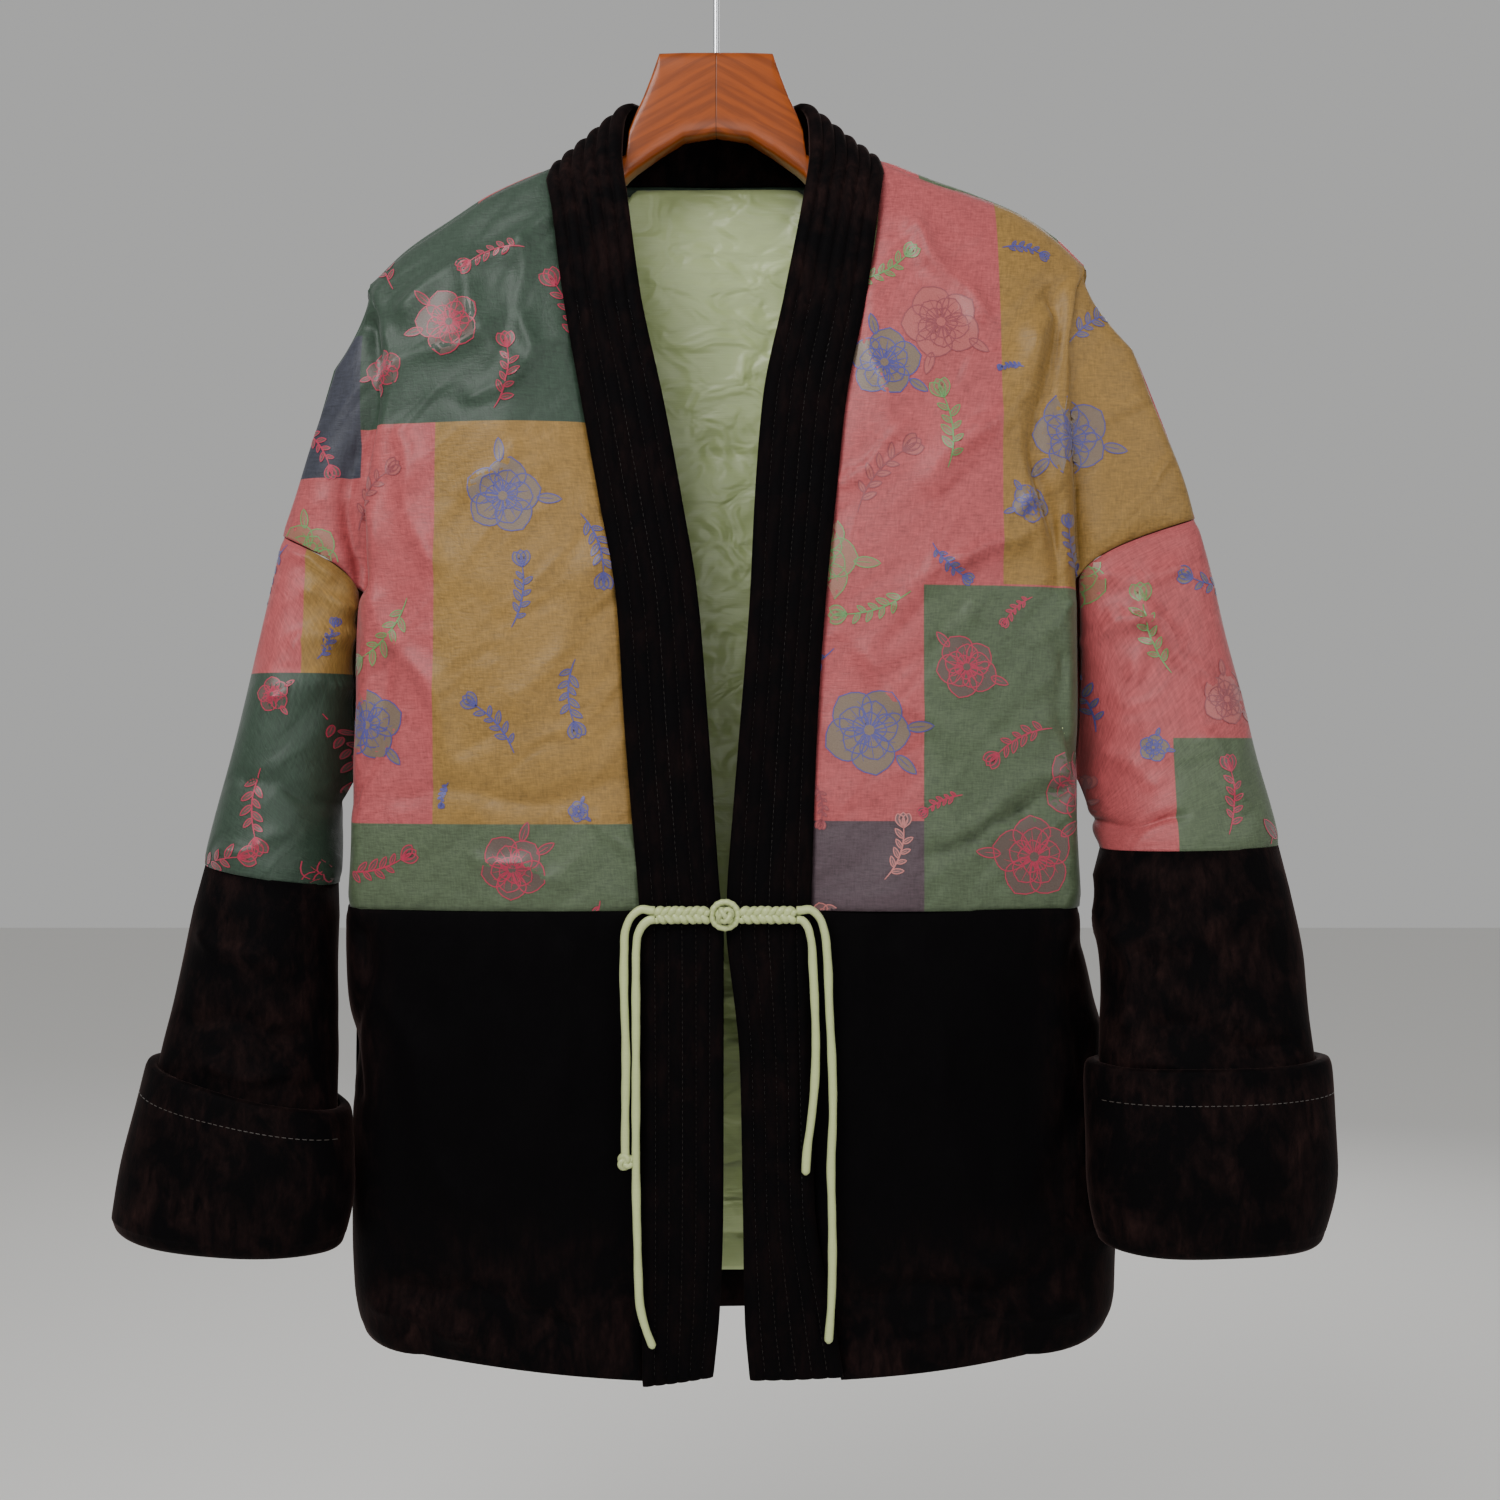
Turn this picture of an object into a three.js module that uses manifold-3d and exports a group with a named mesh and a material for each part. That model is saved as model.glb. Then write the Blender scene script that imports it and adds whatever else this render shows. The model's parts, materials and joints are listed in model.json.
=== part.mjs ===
// A padded patchwork jacket hung on a wooden hanger, in millimetres.
//
// +Z is up, the front faces -Y, and the origin is where the hook hangs: the inside of its top.
// "Left" and "right" are a viewer's, who faces the front: left is -X. Each side is worked out in
// its own outward distance x, so one set of functions makes both, and a side's sign places it.
//
// Cloth is a wall. Its outer face is a net of points, and its inner face is that net moved in along
// the normals by the cloth's thickness. The upper fronts and the back run from the shoulder seam
// down, round the fold that hangs from the hanger's end, into the crease behind that fold and out
// again over the dropped shoulder to the armhole seam. The sleeves grow out of the armhole's loop.

import * as THREE from 'three';
import { mergeVertices } from 'three/addons/utils/BufferGeometryUtils.js';
import Module from 'manifold-3d';

const wasm = await Module();
wasm.setup();

// ---------------------------------------------------------------- sizes

const GAP = 0.3; // between two pieces at a seam
const EDGE_GAP = 0.8; // between the band's thick edge and the cloth that it is sewn to
const CLOTH = 5; // face cloth, wadding and backing, quilted together
const LINING = 1.2; // the satin that shows inside the back
const BAND = 6.5; // the band's stitched channels are thicker
const RIDGE_SEAM = -12; // depth of the shoulder seam, in front of the shoulder's ridge
const RIDGE_CURVE = 0.022; // the ridge drops by this times the depth squared
const RIDGE_BACK = 6; // depth at which the back starts to hang
const HANG = 30; // a cloth leaves the ridge over about this height
const WAIST = -624; // height of the seam between silk and velvet

const CHEST_STEPS = 6; // columns from the band to the fold
const FOLD_STEPS = 4; // columns round the fold into the crease
const CAP_STEPS = 6; // columns from the crease to the overarm seam
const CROWDING = 1.35; // rows lie closer together towards the shoulder
const SHOULDER_ROWS = 6; // rows from the shoulder to where the armhole enters the crease
const CREASE_ROWS = 4; // rows from there to the underarm
const FLANK_ROWS = 3; // rows from the underarm to the waist
const SKIRT_ROWS = 6; // rows of the velvet below the waist

// Each side's own outline. body: by height, the outward distance of the panel's edge at the band,
// of the armhole's fold and of the flank. ridge: the shoulder's height by distance. overarm: the
// distance of the upper arm's outline by height.
const LEFT = {
  sign: -1,
  tip: { x: 218, z: -231 },
  armhole: { overarm: -392, crease: -428, underarm: -545 },
  flankDepth: [
    { z: -545, y: 0 },
    { z: -905, y: 2 },
  ],
  body: [
    { z: -163, edge: 106.5, fold: 218, flank: 228 },
    { z: -200, edge: 101, fold: 218, flank: 228 },
    { z: -244, edge: 94, fold: 211, flank: 228 },
    { z: -285, edge: 87, fold: 207, flank: 228 },
    { z: -325, edge: 80, fold: 207, flank: 228 },
    { z: -376, edge: 70, fold: 210, flank: 228 },
    { z: -437, edge: 59.5, fold: 214, flank: 228 },
    { z: -517, edge: 53.7, fold: 220, flank: 228 },
    { z: -570, edge: 49.5, fold: 223.5, flank: 229 },
    { z: -624, edge: 45, fold: 224, flank: 231.5 },
    { z: -720, edge: 44, fold: 208, flank: 230 },
    { z: -828, edge: 43.6, fold: 198, flank: 230 },
    { z: -861, edge: 43.5, fold: 195, flank: 229 },
    { z: -910, edge: 43.5, fold: 186, flank: 219 },
  ],
  ridge: [
    { x: 95, z: -153 },
    { x: 107, z: -158 },
    { x: 143, z: -175 },
    { x: 166, z: -190 },
    { x: 196, z: -210 },
    { x: 218, z: -231 },
  ],
  overarm: [
    { z: -231, x: 219 },
    { z: -241, x: 227.5 },
    { z: -255, x: 234 },
    { z: -280, x: 242 },
    { z: -332, x: 258 },
    { z: -368, x: 268 },
    { z: -392, x: 276 },
  ],
  // the sleeve below its armhole: its outer and inner edges, the depth of its middle and half of
  // its own depth, at each station down to the turned edge
  sleeve: [
    { at: 'armhole', xo: 277, zo: -392, xi: 238, zi: -550, y: -1, half: 36 },
    { at: 'upper', xo: 285, zo: -445, xi: 240, zi: -566, y: -3, half: 43 },
    { at: 'elbow', xo: 301, zo: -515, xi: 239, zi: -586, y: -6, half: 47 },
    { at: 'velvet', xo: 320, zo: -597, xi: 237.5, zi: -611, y: -12, half: 48 },
    { at: 'forearm', xo: 334, zo: -673, xi: 236.5, zi: -690, y: -24, half: 46 },
    { at: 'cuff', xo: 340, zo: -718, xi: 233, zi: -747, y: -36, half: 42 },
    { at: 'wrist', xo: 351, zo: -777, xi: 230, zi: -790, y: -44, half: 40 },
    { at: 'end', xo: 357, zo: -813, xi: 235, zi: -824, y: -46, half: 39 },
  ],
  band: [
    { xi: 0.5, xo: 43, y: -64, zi: -903, zo: -909 },
    { xi: -3.4, xo: 43, y: -64, zi: -860, zo: -860 },
    { xi: -5.3, xo: 43.2, y: -63, zi: -800, zo: -800 },
    { xi: -5.5, xo: 43.5, y: -62, zi: -715, zo: -715 },
    { xi: -5.6, xo: 44.3, y: -62, zi: -634, zo: -634 },
    { xi: -3.2, xo: 45.6, y: -62, zi: -612, zo: -612 },
    { xi: 3.2, xo: 53.3, y: -61, zi: -521, zo: -521 },
    { xi: 9.9, xo: 59, y: -59, zi: -437, zo: -437 },
    { xi: 19.7, xo: 69.6, y: -55, zi: -376, zo: -376 },
    { xi: 31.5, xo: 81.2, y: -50, zi: -313, zo: -313 },
    { xi: 45, xo: 92.8, y: -44, zi: -251, zo: -249 },
  ],
};

const RIGHT = {
  sign: 1,
  tip: { x: 232, z: -218.5 },
  armhole: { overarm: -381, crease: -420, underarm: -545 },
  flankDepth: [
    { z: -545, y: 0 },
    { z: -700, y: 12 },
    { z: -905, y: 14 },
  ],
  body: [
    { z: -163, edge: 105.5, fold: 232, flank: 228 },
    { z: -200, edge: 102.5, fold: 232, flank: 228 },
    { z: -244, edge: 94.5, fold: 222, flank: 228 },
    { z: -285, edge: 84.5, fold: 217, flank: 228 },
    { z: -325, edge: 78, fold: 216, flank: 228 },
    { z: -376, edge: 73.6, fold: 216, flank: 228 },
    { z: -437, edge: 67.3, fold: 218, flank: 228 },
    { z: -517, edge: 62, fold: 221.5, flank: 228 },
    { z: -570, edge: 60, fold: 222, flank: 229 },
    { z: -624, edge: 58.4, fold: 222, flank: 230.5 },
    { z: -720, edge: 59, fold: 204, flank: 246 },
    { z: -802, edge: 60.6, fold: 203, flank: 252 },
    { z: -842, edge: 64.8, fold: 204, flank: 254 },
    { z: -869, edge: 72, fold: 205, flank: 254 },
    { z: -910, edge: 78, fold: 199, flank: 243 },
  ],
  ridge: [
    { x: 95, z: -148 },
    { x: 107, z: -153.5 },
    { x: 138, z: -166 },
    { x: 162, z: -174 },
    { x: 191, z: -186 },
    { x: 215, z: -202 },
    { x: 232, z: -218.5 },
  ],
  overarm: [
    { z: -218.5, x: 233 },
    { z: -236, x: 244 },
    { z: -255, x: 256 },
    { z: -275, x: 266 },
    { z: -301, x: 276.4 },
    { z: -357, x: 298 },
    { z: -381, x: 305 },
  ],
  sleeve: [
    { at: 'armhole', xo: 306, zo: -381, xi: 236, zi: -549, y: -1, half: 36 },
    { at: 'upper', xo: 320, zo: -445, xi: 237, zi: -564, y: -5, half: 42 },
    { at: 'elbow', xo: 335, zo: -515, xi: 238, zi: -578, y: -13, half: 44 },
    { at: 'velvet', xo: 350, zo: -586, xi: 238.5, zi: -588, y: -24, half: 44 },
    { at: 'forearm', xo: 361, zo: -660, xi: 238, zi: -660, y: -39, half: 42 },
    { at: 'cuff', xo: 362, zo: -712, xi: 233, zi: -716, y: -58, half: 37 },
    { at: 'wrist', xo: 363, zo: -775, xi: 232, zi: -775, y: -67, half: 35 },
    { at: 'end', xo: 356, zo: -814, xi: 237, zi: -816, y: -67, half: 34 },
  ],
  band: [
    { xi: 21.5, xo: 77.5, y: -64, zi: -905, zo: -903 },
    { xi: 18.5, xo: 71.5, y: -64, zi: -867, zo: -867 },
    { xi: 17.3, xo: 60.2, y: -63, zi: -800, zo: -800 },
    { xi: 15.5, xo: 58.6, y: -62, zi: -715, zo: -715 },
    { xi: 7.4, xo: 58, y: -62, zi: -636, zo: -636 },
    { xi: 7.9, xo: 58.4, y: -62, zi: -612, zo: -612 },
    { xi: 14.9, xo: 61.5, y: -61, zi: -521, zo: -521 },
    { xi: 21.5, xo: 67, y: -59, zi: -437, zo: -437 },
    { xi: 24.5, xo: 73.2, y: -55, zi: -376, zo: -376 },
    { xi: 29.5, xo: 80, y: -50, zi: -313, zo: -313 },
    { xi: 42, xo: 92.6, y: -44, zi: -251, zo: -249 },
  ],
};

// The neck stretch of the band is the same on both sides: it climbs from the chest over the
// shoulder, standing clear of the hanger's block, and stands up behind the neck. Where its outer
// edge crosses the shoulder, null, it lies on the side's own ridge.
const NECK = [
  { xi: 54, xo: 101, yi: -38, yo: -36, zi: -190, zo: -190 },
  { xi: 60, xo: null, yi: -26, yo: -20, zi: -152, zo: null },
  { xi: 60.5, xo: null, yi: -13, yo: -12, zi: -129, zo: null },
  { xi: 59, xo: null, yi: -3, yo: -3, zi: -117, zo: null },
  { xi: 56, xo: null, yi: 7, yo: 6, zi: -111, zo: null },
  { xi: 49, xo: 92, yi: 22, yo: 28, zi: -109, zo: -155 },
  { xi: 32, xo: 66, yi: 37, yo: 44, zi: -108, zo: -154 },
  { xi: 14, xo: 32, yi: 43, yo: 50, zi: -108, zo: -153 },
  { xi: 0.2, xo: 0.2, yi: 45, yo: 52, zi: -108, zo: -153 },
];

// Depth of the cloth in front of and behind the hanger, by height: at the band, at the fold, and
// behind at the middle of the back and at its fold.
const DEPTH = [
  { z: -150, band: 34, fold: 40, back: 46, backFold: 36 },
  { z: -244, band: 43, fold: 42, back: 52, backFold: 44 },
  { z: -325, band: 50, fold: 44, back: 55, backFold: 48 },
  { z: -376, band: 54, fold: 46, back: 56, backFold: 49 },
  { z: -437, band: 58, fold: 47, back: 56, backFold: 49 },
  { z: -517, band: 60, fold: 48, back: 55, backFold: 48 },
  { z: -624, band: 61, fold: 50, back: 55, backFold: 47 },
  { z: -760, band: 61, fold: 52, back: 56, backFold: 50 },
  { z: -910, band: 62, fold: 54, back: 57, backFold: 52 },
];

// ---------------------------------------------------------------- curves and nets

const TURN = 2 * Math.PI;
const lerp = (a, b, t) => a + (b - a) * t;
const ease = (t) => t * t * (3 - 2 * t);
const clamp = (t) => Math.min(1, Math.max(0, t));

// A smooth curve through a table's rows, of one column by another, with no overshoot: each slope
// is the harmonic mean of its neighbours', or 0 at a turn.
function along(rows, by, of) {
  const r = [...rows].sort((p, q) => p[by] - q[by]);
  const d = r.slice(1).map((p, i) => (p[of] - r[i][of]) / (p[by] - r[i][by]));
  const m = r.map((_, i) => {
    if (i === 0) return d[0];
    if (i === r.length - 1) return d[d.length - 1];
    return d[i - 1] * d[i] <= 0 ? 0 : (2 * d[i - 1] * d[i]) / (d[i - 1] + d[i]);
  });
  return (v) => {
    if (v <= r[0][by]) return r[0][of];
    if (v >= r[r.length - 1][by]) return r[r.length - 1][of];
    const i = r.findIndex((p) => p[by] > v) - 1;
    const h = r[i + 1][by] - r[i][by];
    const t = (v - r[i][by]) / h;
    const s = 1 - t;
    return (
      r[i][of] * (1 + 2 * t) * s * s + m[i] * h * t * s * s
      + r[i + 1][of] * t * t * (3 - 2 * t) - m[i + 1] * h * t * t * s
    );
  };
}

// A cubic through a plane or space, from a to d, leaving towards b and arriving from c.
function bezier(a, b, c, d, t) {
  const s = 1 - t;
  return a.map((_, k) => (
    s * s * s * a[k] + 3 * s * s * t * b[k] + 3 * s * t * t * c[k] + t * t * t * d[k]
  ));
}

// A net is rows of points [x, y, z] with the same number in each.
const netFaces = (net) => net.slice(1).flatMap((row, i) => row.slice(1).flatMap((_, j) => {
  const a = i * row.length + j;
  const b = a + row.length;
  return [[a, b, a + 1], [a + 1, b, b + 1]];
}));

// Joins nets into one sheet: points that meet become one, and faces that close up are dropped.
// Each net says whether its faces are to be turned over to point out.
function sheetOf(...nets) {
  const points = [];
  const seen = new Map();
  const index = (p) => {
    const key = p.map((v) => Math.round(v * 1000)).join();
    if (!seen.has(key)) {
      seen.set(key, points.length);
      points.push(new THREE.Vector3(...p));
    }
    return seen.get(key);
  };
  const faces = [];
  for (const { net, turned } of nets) {
    const flat = net.flat().map(index);
    for (const f of netFaces(net)) {
      const [p, q, r] = f.map((k) => flat[k]);
      if (new Set([p, q, r]).size === 3) faces.push(turned ? [p, r, q] : [p, q, r]);
    }
  }
  return { points, faces };
}

function normalsOf({ points, faces }) {
  const normals = points.map(() => new THREE.Vector3());
  for (const f of faces) {
    const [a, b, c] = f.map((k) => points[k]);
    const n = b.clone().sub(a).cross(c.clone().sub(a));
    f.forEach((k) => normals[k].add(n));
  }
  return normals.map((n) => n.normalize());
}

// Where two sheets meet at a seam their points share one normal, so that both are cut along the
// same plane through the cloth and neither reaches under the other. Where they meet at a sharp
// angle, deep in a crease, the seam presses the cloth thin.
const SEAM_REACH = 1.9;
const PRESSED = 0.2;
// The cloth is thin too where many seams meet, at the underarm and over the hanger's end.
const PINCHES = [LEFT, RIGHT].flatMap(({ sign, armhole, tip }) => [
  { at: new THREE.Vector3(sign * 228, 0, armhole.underarm), reach: 45 },
  { at: new THREE.Vector3(sign * tip.x, RIDGE_SEAM, tip.z - 4), reach: 14 },
]);
function shareNormals(sheets) {
  const own = sheets.map((sheet) => normalsOf(sheet));
  sheets.forEach((sheet, k) => {
    sheet.normals = own[k].map((n) => n.clone());
    sheet.points.forEach((p, i) => {
      sheets.forEach((other, m) => {
        if (m === k) return;
        const gaps = other.points.map((q) => q.distanceToSquared(p));
        const nearest = gaps.reduce((best, gap, n) => (gap < gaps[best] ? n : best), 0);
        if (gaps[nearest] < SEAM_REACH ** 2) sheet.normals[i].add(own[m][nearest]);
      });
      sheet.normals[i].normalize();
    });
    sheet.full = sheet.normals.map((n, i) => {
      const away = Math.min(...PINCHES.map(({ at, reach }) => at.distanceTo(sheet.points[i]) / reach));
      const thin = Math.max(PRESSED, n.dot(own[k][i]) ** 4);
      return Math.min(thin, lerp(PRESSED, 1, clamp(away)));
    });
  });
}

const sunk = ({ points, faces, normals, full }, by) => ({
  points: points.map((p, i) => p.clone().addScaledVector(normals[i], -by * full[i])),
  faces,
  normals,
  full,
});

// The wall between a sheet and the same sheet moved in by its thickness.
function wall(sheet, thickness) {
  const inner = sunk(sheet, thickness).points;
  const n = sheet.points.length;
  const faces = [...sheet.faces, ...sheet.faces.map(([a, b, c]) => [a + n, c + n, b + n])];
  const edges = new Set(sheet.faces.flatMap(([a, b, c]) => [`${a},${b}`, `${b},${c}`, `${c},${a}`]));
  for (const edge of edges) {
    const [a, b] = edge.split(',').map(Number);
    if (!edges.has(`${b},${a}`)) faces.push([b, a, a + n], [b, a + n, b + n]);
  }
  return solid([...sheet.points, ...inner], faces);
}

function solid(points, faces) {
  const geometry = new THREE.BufferGeometry();
  geometry.setAttribute('position', new THREE.Float32BufferAttribute(
    points.flatMap((p) => [p.x, p.y, p.z]),
    3,
  ));
  geometry.setIndex(faces.flat());
  return geometry;
}

// A solid through closed sections, each a list of points, with its two ends filled.
function loft(sections) {
  const count = sections[0].length;
  const points = sections.flat().map((p) => new THREE.Vector3(...p));
  const faces = [];
  for (let i = 0; i + 1 < sections.length; i += 1) {
    for (let j = 0; j < count; j += 1) {
      const a = i * count + j;
      const b = i * count + ((j + 1) % count);
      faces.push([a, b, a + count], [b, b + count, a + count]);
    }
  }
  const last = (sections.length - 1) * count;
  for (let j = 1; j + 1 < count; j += 1) {
    faces.push([0, j + 1, j], [last, last + j, last + j + 1]);
  }
  return solid(points, faces);
}

// A side's net at its place. Columns that run outward on rows that run down face the front on the
// right; reversed says that one of the two runs the other way, or that the net faces back.
function placed(side, net, reversed = false) {
  return {
    net: net.map((row) => row.map(([x, y, z]) => [side.sign * x, y, z])),
    turned: (side.sign < 0) !== reversed,
  };
}

// ---------------------------------------------------------------- the body of the jacket

const NECK_TOP = -163; // height above which the panel's edge at the band is upright
const ridgeDrop = (y) => RIDGE_CURVE * y * y;

// A side's outlines and the depths, as curves that can be asked at any height or distance.
const curves = new Map([LEFT, RIGHT].map((side) => [side, {
  edge: along(side.body, 'z', 'edge'),
  fold: along(side.body, 'z', 'fold'),
  flank: along(side.body, 'z', 'flank'),
  flankDepth: along(side.flankDepth, 'z', 'y'),
  ridge: along(side.ridge, 'x', 'z'),
  overarm: along(side.overarm, 'z', 'x'),
}]));
const depth = {
  band: along(DEPTH, 'z', 'band'),
  fold: along(DEPTH, 'z', 'fold'),
  back: along(DEPTH, 'z', 'back'),
  backFold: along(DEPTH, 'z', 'backFold'),
};
const neckOf = (side) => NECK.map((row) => (row.xo === null ? {
  ...row,
  xo: curves.get(side).edge(NECK_TOP),
  zo: curves.get(side).ridge(curves.get(side).edge(NECK_TOP)) - ridgeDrop(row.yo),
} : row));
const BEHIND = NECK.filter((row) => row.xo !== null && row.yo > 0).reverse();

// What differs between the front and the back of a side: the depth where its cloth starts to hang,
// the sign of its depths, how deep its crease lies and how far its cap stands out.
const FRONT = { start: RIDGE_SEAM, way: -1, fold: depth.fold, creaseDepth: -20, swell: 7 };
const BACK = { start: RIDGE_BACK, way: 1, fold: depth.backFold, creaseDepth: 24, swell: 3 };
const CAP_DEPTH = 36; // the upper arm's half depth at the armhole

// How far a cloth has left its start for its full depth, h below its top.
const hung = (start, full, h) => start + (full - start) * (1 - Math.exp(-h / HANG));

// How much of the round flank has replaced the sharp fold: none at the underarm, all well below.
const rounded = (side, z) => ease(clamp((side.armhole.underarm - z) / 120));
const crestAt = (side, z) => curves.get(side).fold(z) - 8 - 4 * rounded(side, z);

// The crease behind the fold, [distance, depth] at height z. It starts as nothing at the hanger's
// end, lies deepest where the armhole enters it, and is the flank from the underarm down.
function creaseAt(side, half, z) {
  const c = curves.get(side);
  const { tip, armhole } = side;
  if (z <= armhole.underarm + 0.01) {
    return [c.flank(z), c.flankDepth(z) + half.way * GAP];
  }
  const open = ease(clamp((tip.z - z) / (tip.z - armhole.crease)));
  const away = clamp((armhole.crease - z) / (armhole.crease - armhole.underarm));
  const lip = half.way * (half.fold(z) - 5);
  const deep = lerp(lip, half.creaseDepth, open);
  return [
    lerp(c.fold(z) + 9 * open, c.flank(z), away),
    lerp(deep, c.flankDepth(z), ease(away)),
  ];
}

// The fold at height z, h below its top: from its crest on the panel round to the crease.
function foldPoints(side, half, z, h) {
  const crest = crestAt(side, z);
  const round = rounded(side, z);
  const y = hung(half.start, half.way * half.fold(z), h);
  const [xc, deep] = creaseAt(side, half, z);
  const yc = hung(half.start, deep, h);
  const edge = lerp(curves.get(side).fold(z) + 3, xc - 4, round);
  const reach = [lerp(edge, lerp(crest, xc, 0.62), round), lerp(y, yc, 0.02)];
  const turn = [lerp(edge + 1, xc + 0.5, Math.max(round, 0.2)), lerp(y, yc, lerp(0.6, 0.4, round))];
  return Array.from({ length: FOLD_STEPS + 1 }, (_, k) => (
    bezier([crest, y], reach, turn, [xc, yc], k / FOLD_STEPS)
  ));
}

// The panel's own face, a share u of the way from its inner edge to the fold's crest.
function facePoint(side, half, u, z, h, inner, start) {
  const edgeDepth = half === FRONT ? depth.band(z) : depth.back(z);
  const swell = half.swell * Math.sin(Math.PI * u) * clamp(h / 150);
  const full = half.way * (lerp(edgeDepth, half.fold(z), u * u) + swell);
  return [lerp(inner, crestAt(side, z), u), hung(start, full, h)];
}

// Where a side's columns start on the shoulder: distances from the band to the hanger's end, the
// fold's own columns included.
function shoulderStarts(side) {
  const first = curves.get(side).edge(NECK_TOP) + EDGE_GAP;
  const crest = side.tip.x - 8;
  const faces = Array.from({ length: CHEST_STEPS + 1 }, (_, j) => (
    lerp(first, crest, j / CHEST_STEPS)
  ));
  const folds = Array.from({ length: FOLD_STEPS }, (_, k) => (
    lerp(crest, side.tip.x, (k + 1) / FOLD_STEPS)
  ));
  return [...faces, ...folds];
}

// Shares of the way down of each row, for columns that start at the height top.
function rowShares(side, top) {
  const { armhole } = side;
  const share = (z) => (z - top) / (WAIST + GAP / 2 - top);
  const stops = [0, share(armhole.crease), share(armhole.underarm), 1];
  const steps = [SHOULDER_ROWS, CREASE_ROWS, FLANK_ROWS];
  return [0, ...steps.flatMap((n, k) => (
    Array.from({ length: n }, (_, i) => (
      lerp(stops[k], stops[k + 1], ((i + 1) / n) ** (k === 0 ? CROWDING : 1))
    ))
  ))];
}

// The silk of one side's front: its face and fold, down to the waist, and the cap over the arm.
function frontSilk(side) {
  const c = curves.get(side);
  const starts = shoulderStarts(side);
  const tops = starts.map((x) => c.ridge(x) - ridgeDrop(RIDGE_SEAM));
  const shares = rowShares(side, tops[tops.length - 1]);
  const panel = shares.map((w, row) => starts.map((x0, j) => {
    const z = lerp(tops[j], WAIST + GAP / 2, w);
    if (row === 0) return [x0, RIDGE_SEAM, z];
    const h = tops[j] - z;
    if (j > CHEST_STEPS) return [...foldPoints(side, FRONT, z, h)[j - CHEST_STEPS], z];
    const u = j / CHEST_STEPS;
    return [...facePoint(side, FRONT, u, z, h, c.edge(z) + EDGE_GAP, RIDGE_SEAM), z];
  }));
  const tip = panel[0][starts.length - 1];
  const cap = Array.from({ length: SHOULDER_ROWS + 1 }, (_, i) => {
    if (i === 0) return Array(CAP_STEPS + 1).fill(tip);
    const t = (i / SHOULDER_ROWS) ** CROWDING;
    const from = panel[i][starts.length - 1];
    const zo = lerp(tip[2], side.armhole.overarm, t);
    const xo = lerp(tip[0], c.overarm(zo) - 3, Math.min(1, 3 * t));
    const out = lerp(20, CAP_DEPTH, t ** 0.7);
    return capRow(from, [xo, RIDGE_SEAM, zo], FRONT, out);
  });
  return { panel, cap };
}

// One row of the cap, from the crease to the overarm.
function capRow(from, to, half, out) {
  const deep = half.way * out;
  const near = [from[0] + 3, lerp(from[1], deep, 0.9)];
  const far = [to[0] - 1, lerp(to[1], deep, 0.8)];
  return Array.from({ length: CAP_STEPS + 1 }, (_, k) => {
    const t = k / CAP_STEPS;
    const xy = bezier(from.slice(0, 2), near, far, to.slice(0, 2), t);
    return [...xy, to[2] + (from[2] - to[2]) * (1 - t) ** 1.6];
  });
}

const BACK_COLUMNS = BEHIND.length + CHEST_STEPS; // from the middle of the back to its fold

// The two sides' rows meet halfway at the middle of the back.
const [leftShares, rightShares] = [LEFT, RIGHT].map((side) => rowShares(side, side.tip.z));
const middleShares = leftShares.map((share, row) => (share + rightShares[row]) / 2);

// The silk of one side's back. Its two first rows run from the shoulder seam over the ridge, and
// the columns inside the neck's seam start at that seam instead.
function backSilk(side) {
  const c = curves.get(side);
  const outer = shoulderStarts(side);
  const out = (row) => (EDGE_GAP * row.xo) / BEHIND[BEHIND.length - 1].xo;
  const starts = [0, ...BEHIND.slice(1).map((row) => row.xo + out(row)), ...outer];
  const inNeck = (j) => j < BEHIND.length;
  const seam = RIDGE_SEAM + EDGE_GAP / 2;
  const mid = RIDGE_SEAM / 4;
  const startDepth = (j) => (inNeck(j) ? BEHIND[j].yo + out(BEHIND[j]) : RIDGE_BACK);
  const tops = starts.map((x, j) => (
    inNeck(j) ? BEHIND[j].zo - EDGE_GAP : c.ridge(x) - ridgeDrop(RIDGE_BACK)
  ));
  const over = [seam, mid, RIDGE_BACK].map((y) => outer.map((x) => (
    [x, y, c.ridge(x) - ridgeDrop(y)]
  )));
  const shares = rowShares(side, tops[tops.length - 1]);
  const crestColumn = BACK_COLUMNS;
  const hanging = shares.map((own, row) => starts.map((x0, j) => {
    const w = lerp(middleShares[row], own, Math.min(1, j / crestColumn));
    const z = lerp(tops[j], WAIST + GAP / 2, w);
    if (row === 0) return [x0, startDepth(j), z];
    const h = tops[j] - z;
    if (j > crestColumn) return [...foldPoints(side, BACK, z, h)[j - crestColumn], z];
    const u = j / crestColumn;
    const [x, y] = facePoint(side, BACK, u, z, h, 0, startDepth(j));
    return [lerp(x0, x, ease(clamp(h / 150))), y, z];
  }));
  const last = starts.length - 1;
  const end = outer.length - 1;
  const tip = hanging[0][last];
  const cap = Array.from({ length: SHOULDER_ROWS + 1 }, (_, i) => {
    if (i === 0) return [over[0][end], over[1][end], ...Array(CAP_STEPS + 1).fill(tip)];
    const t = (i / SHOULDER_ROWS) ** CROWDING;
    const zo = lerp(tip[2], side.armhole.overarm, t);
    const xo = lerp(tip[0], c.overarm(zo), Math.min(1, 3 * t));
    const down = lerp(over[0][end][2], side.armhole.overarm, t);
    const row = capRow(hanging[i][last], [xo, RIDGE_BACK, zo], BACK, lerp(20, CAP_DEPTH, t ** 0.7));
    const seamOut = lerp(tip[0], c.overarm(down) - 2.5, Math.min(1, 3 * t));
    return [[seamOut, seam, down], [lerp(seamOut, xo, 0.8), mid, lerp(down, zo, 0.5)],
      ...row.reverse()];
  });
  return { over, hanging, cap };
}

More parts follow.
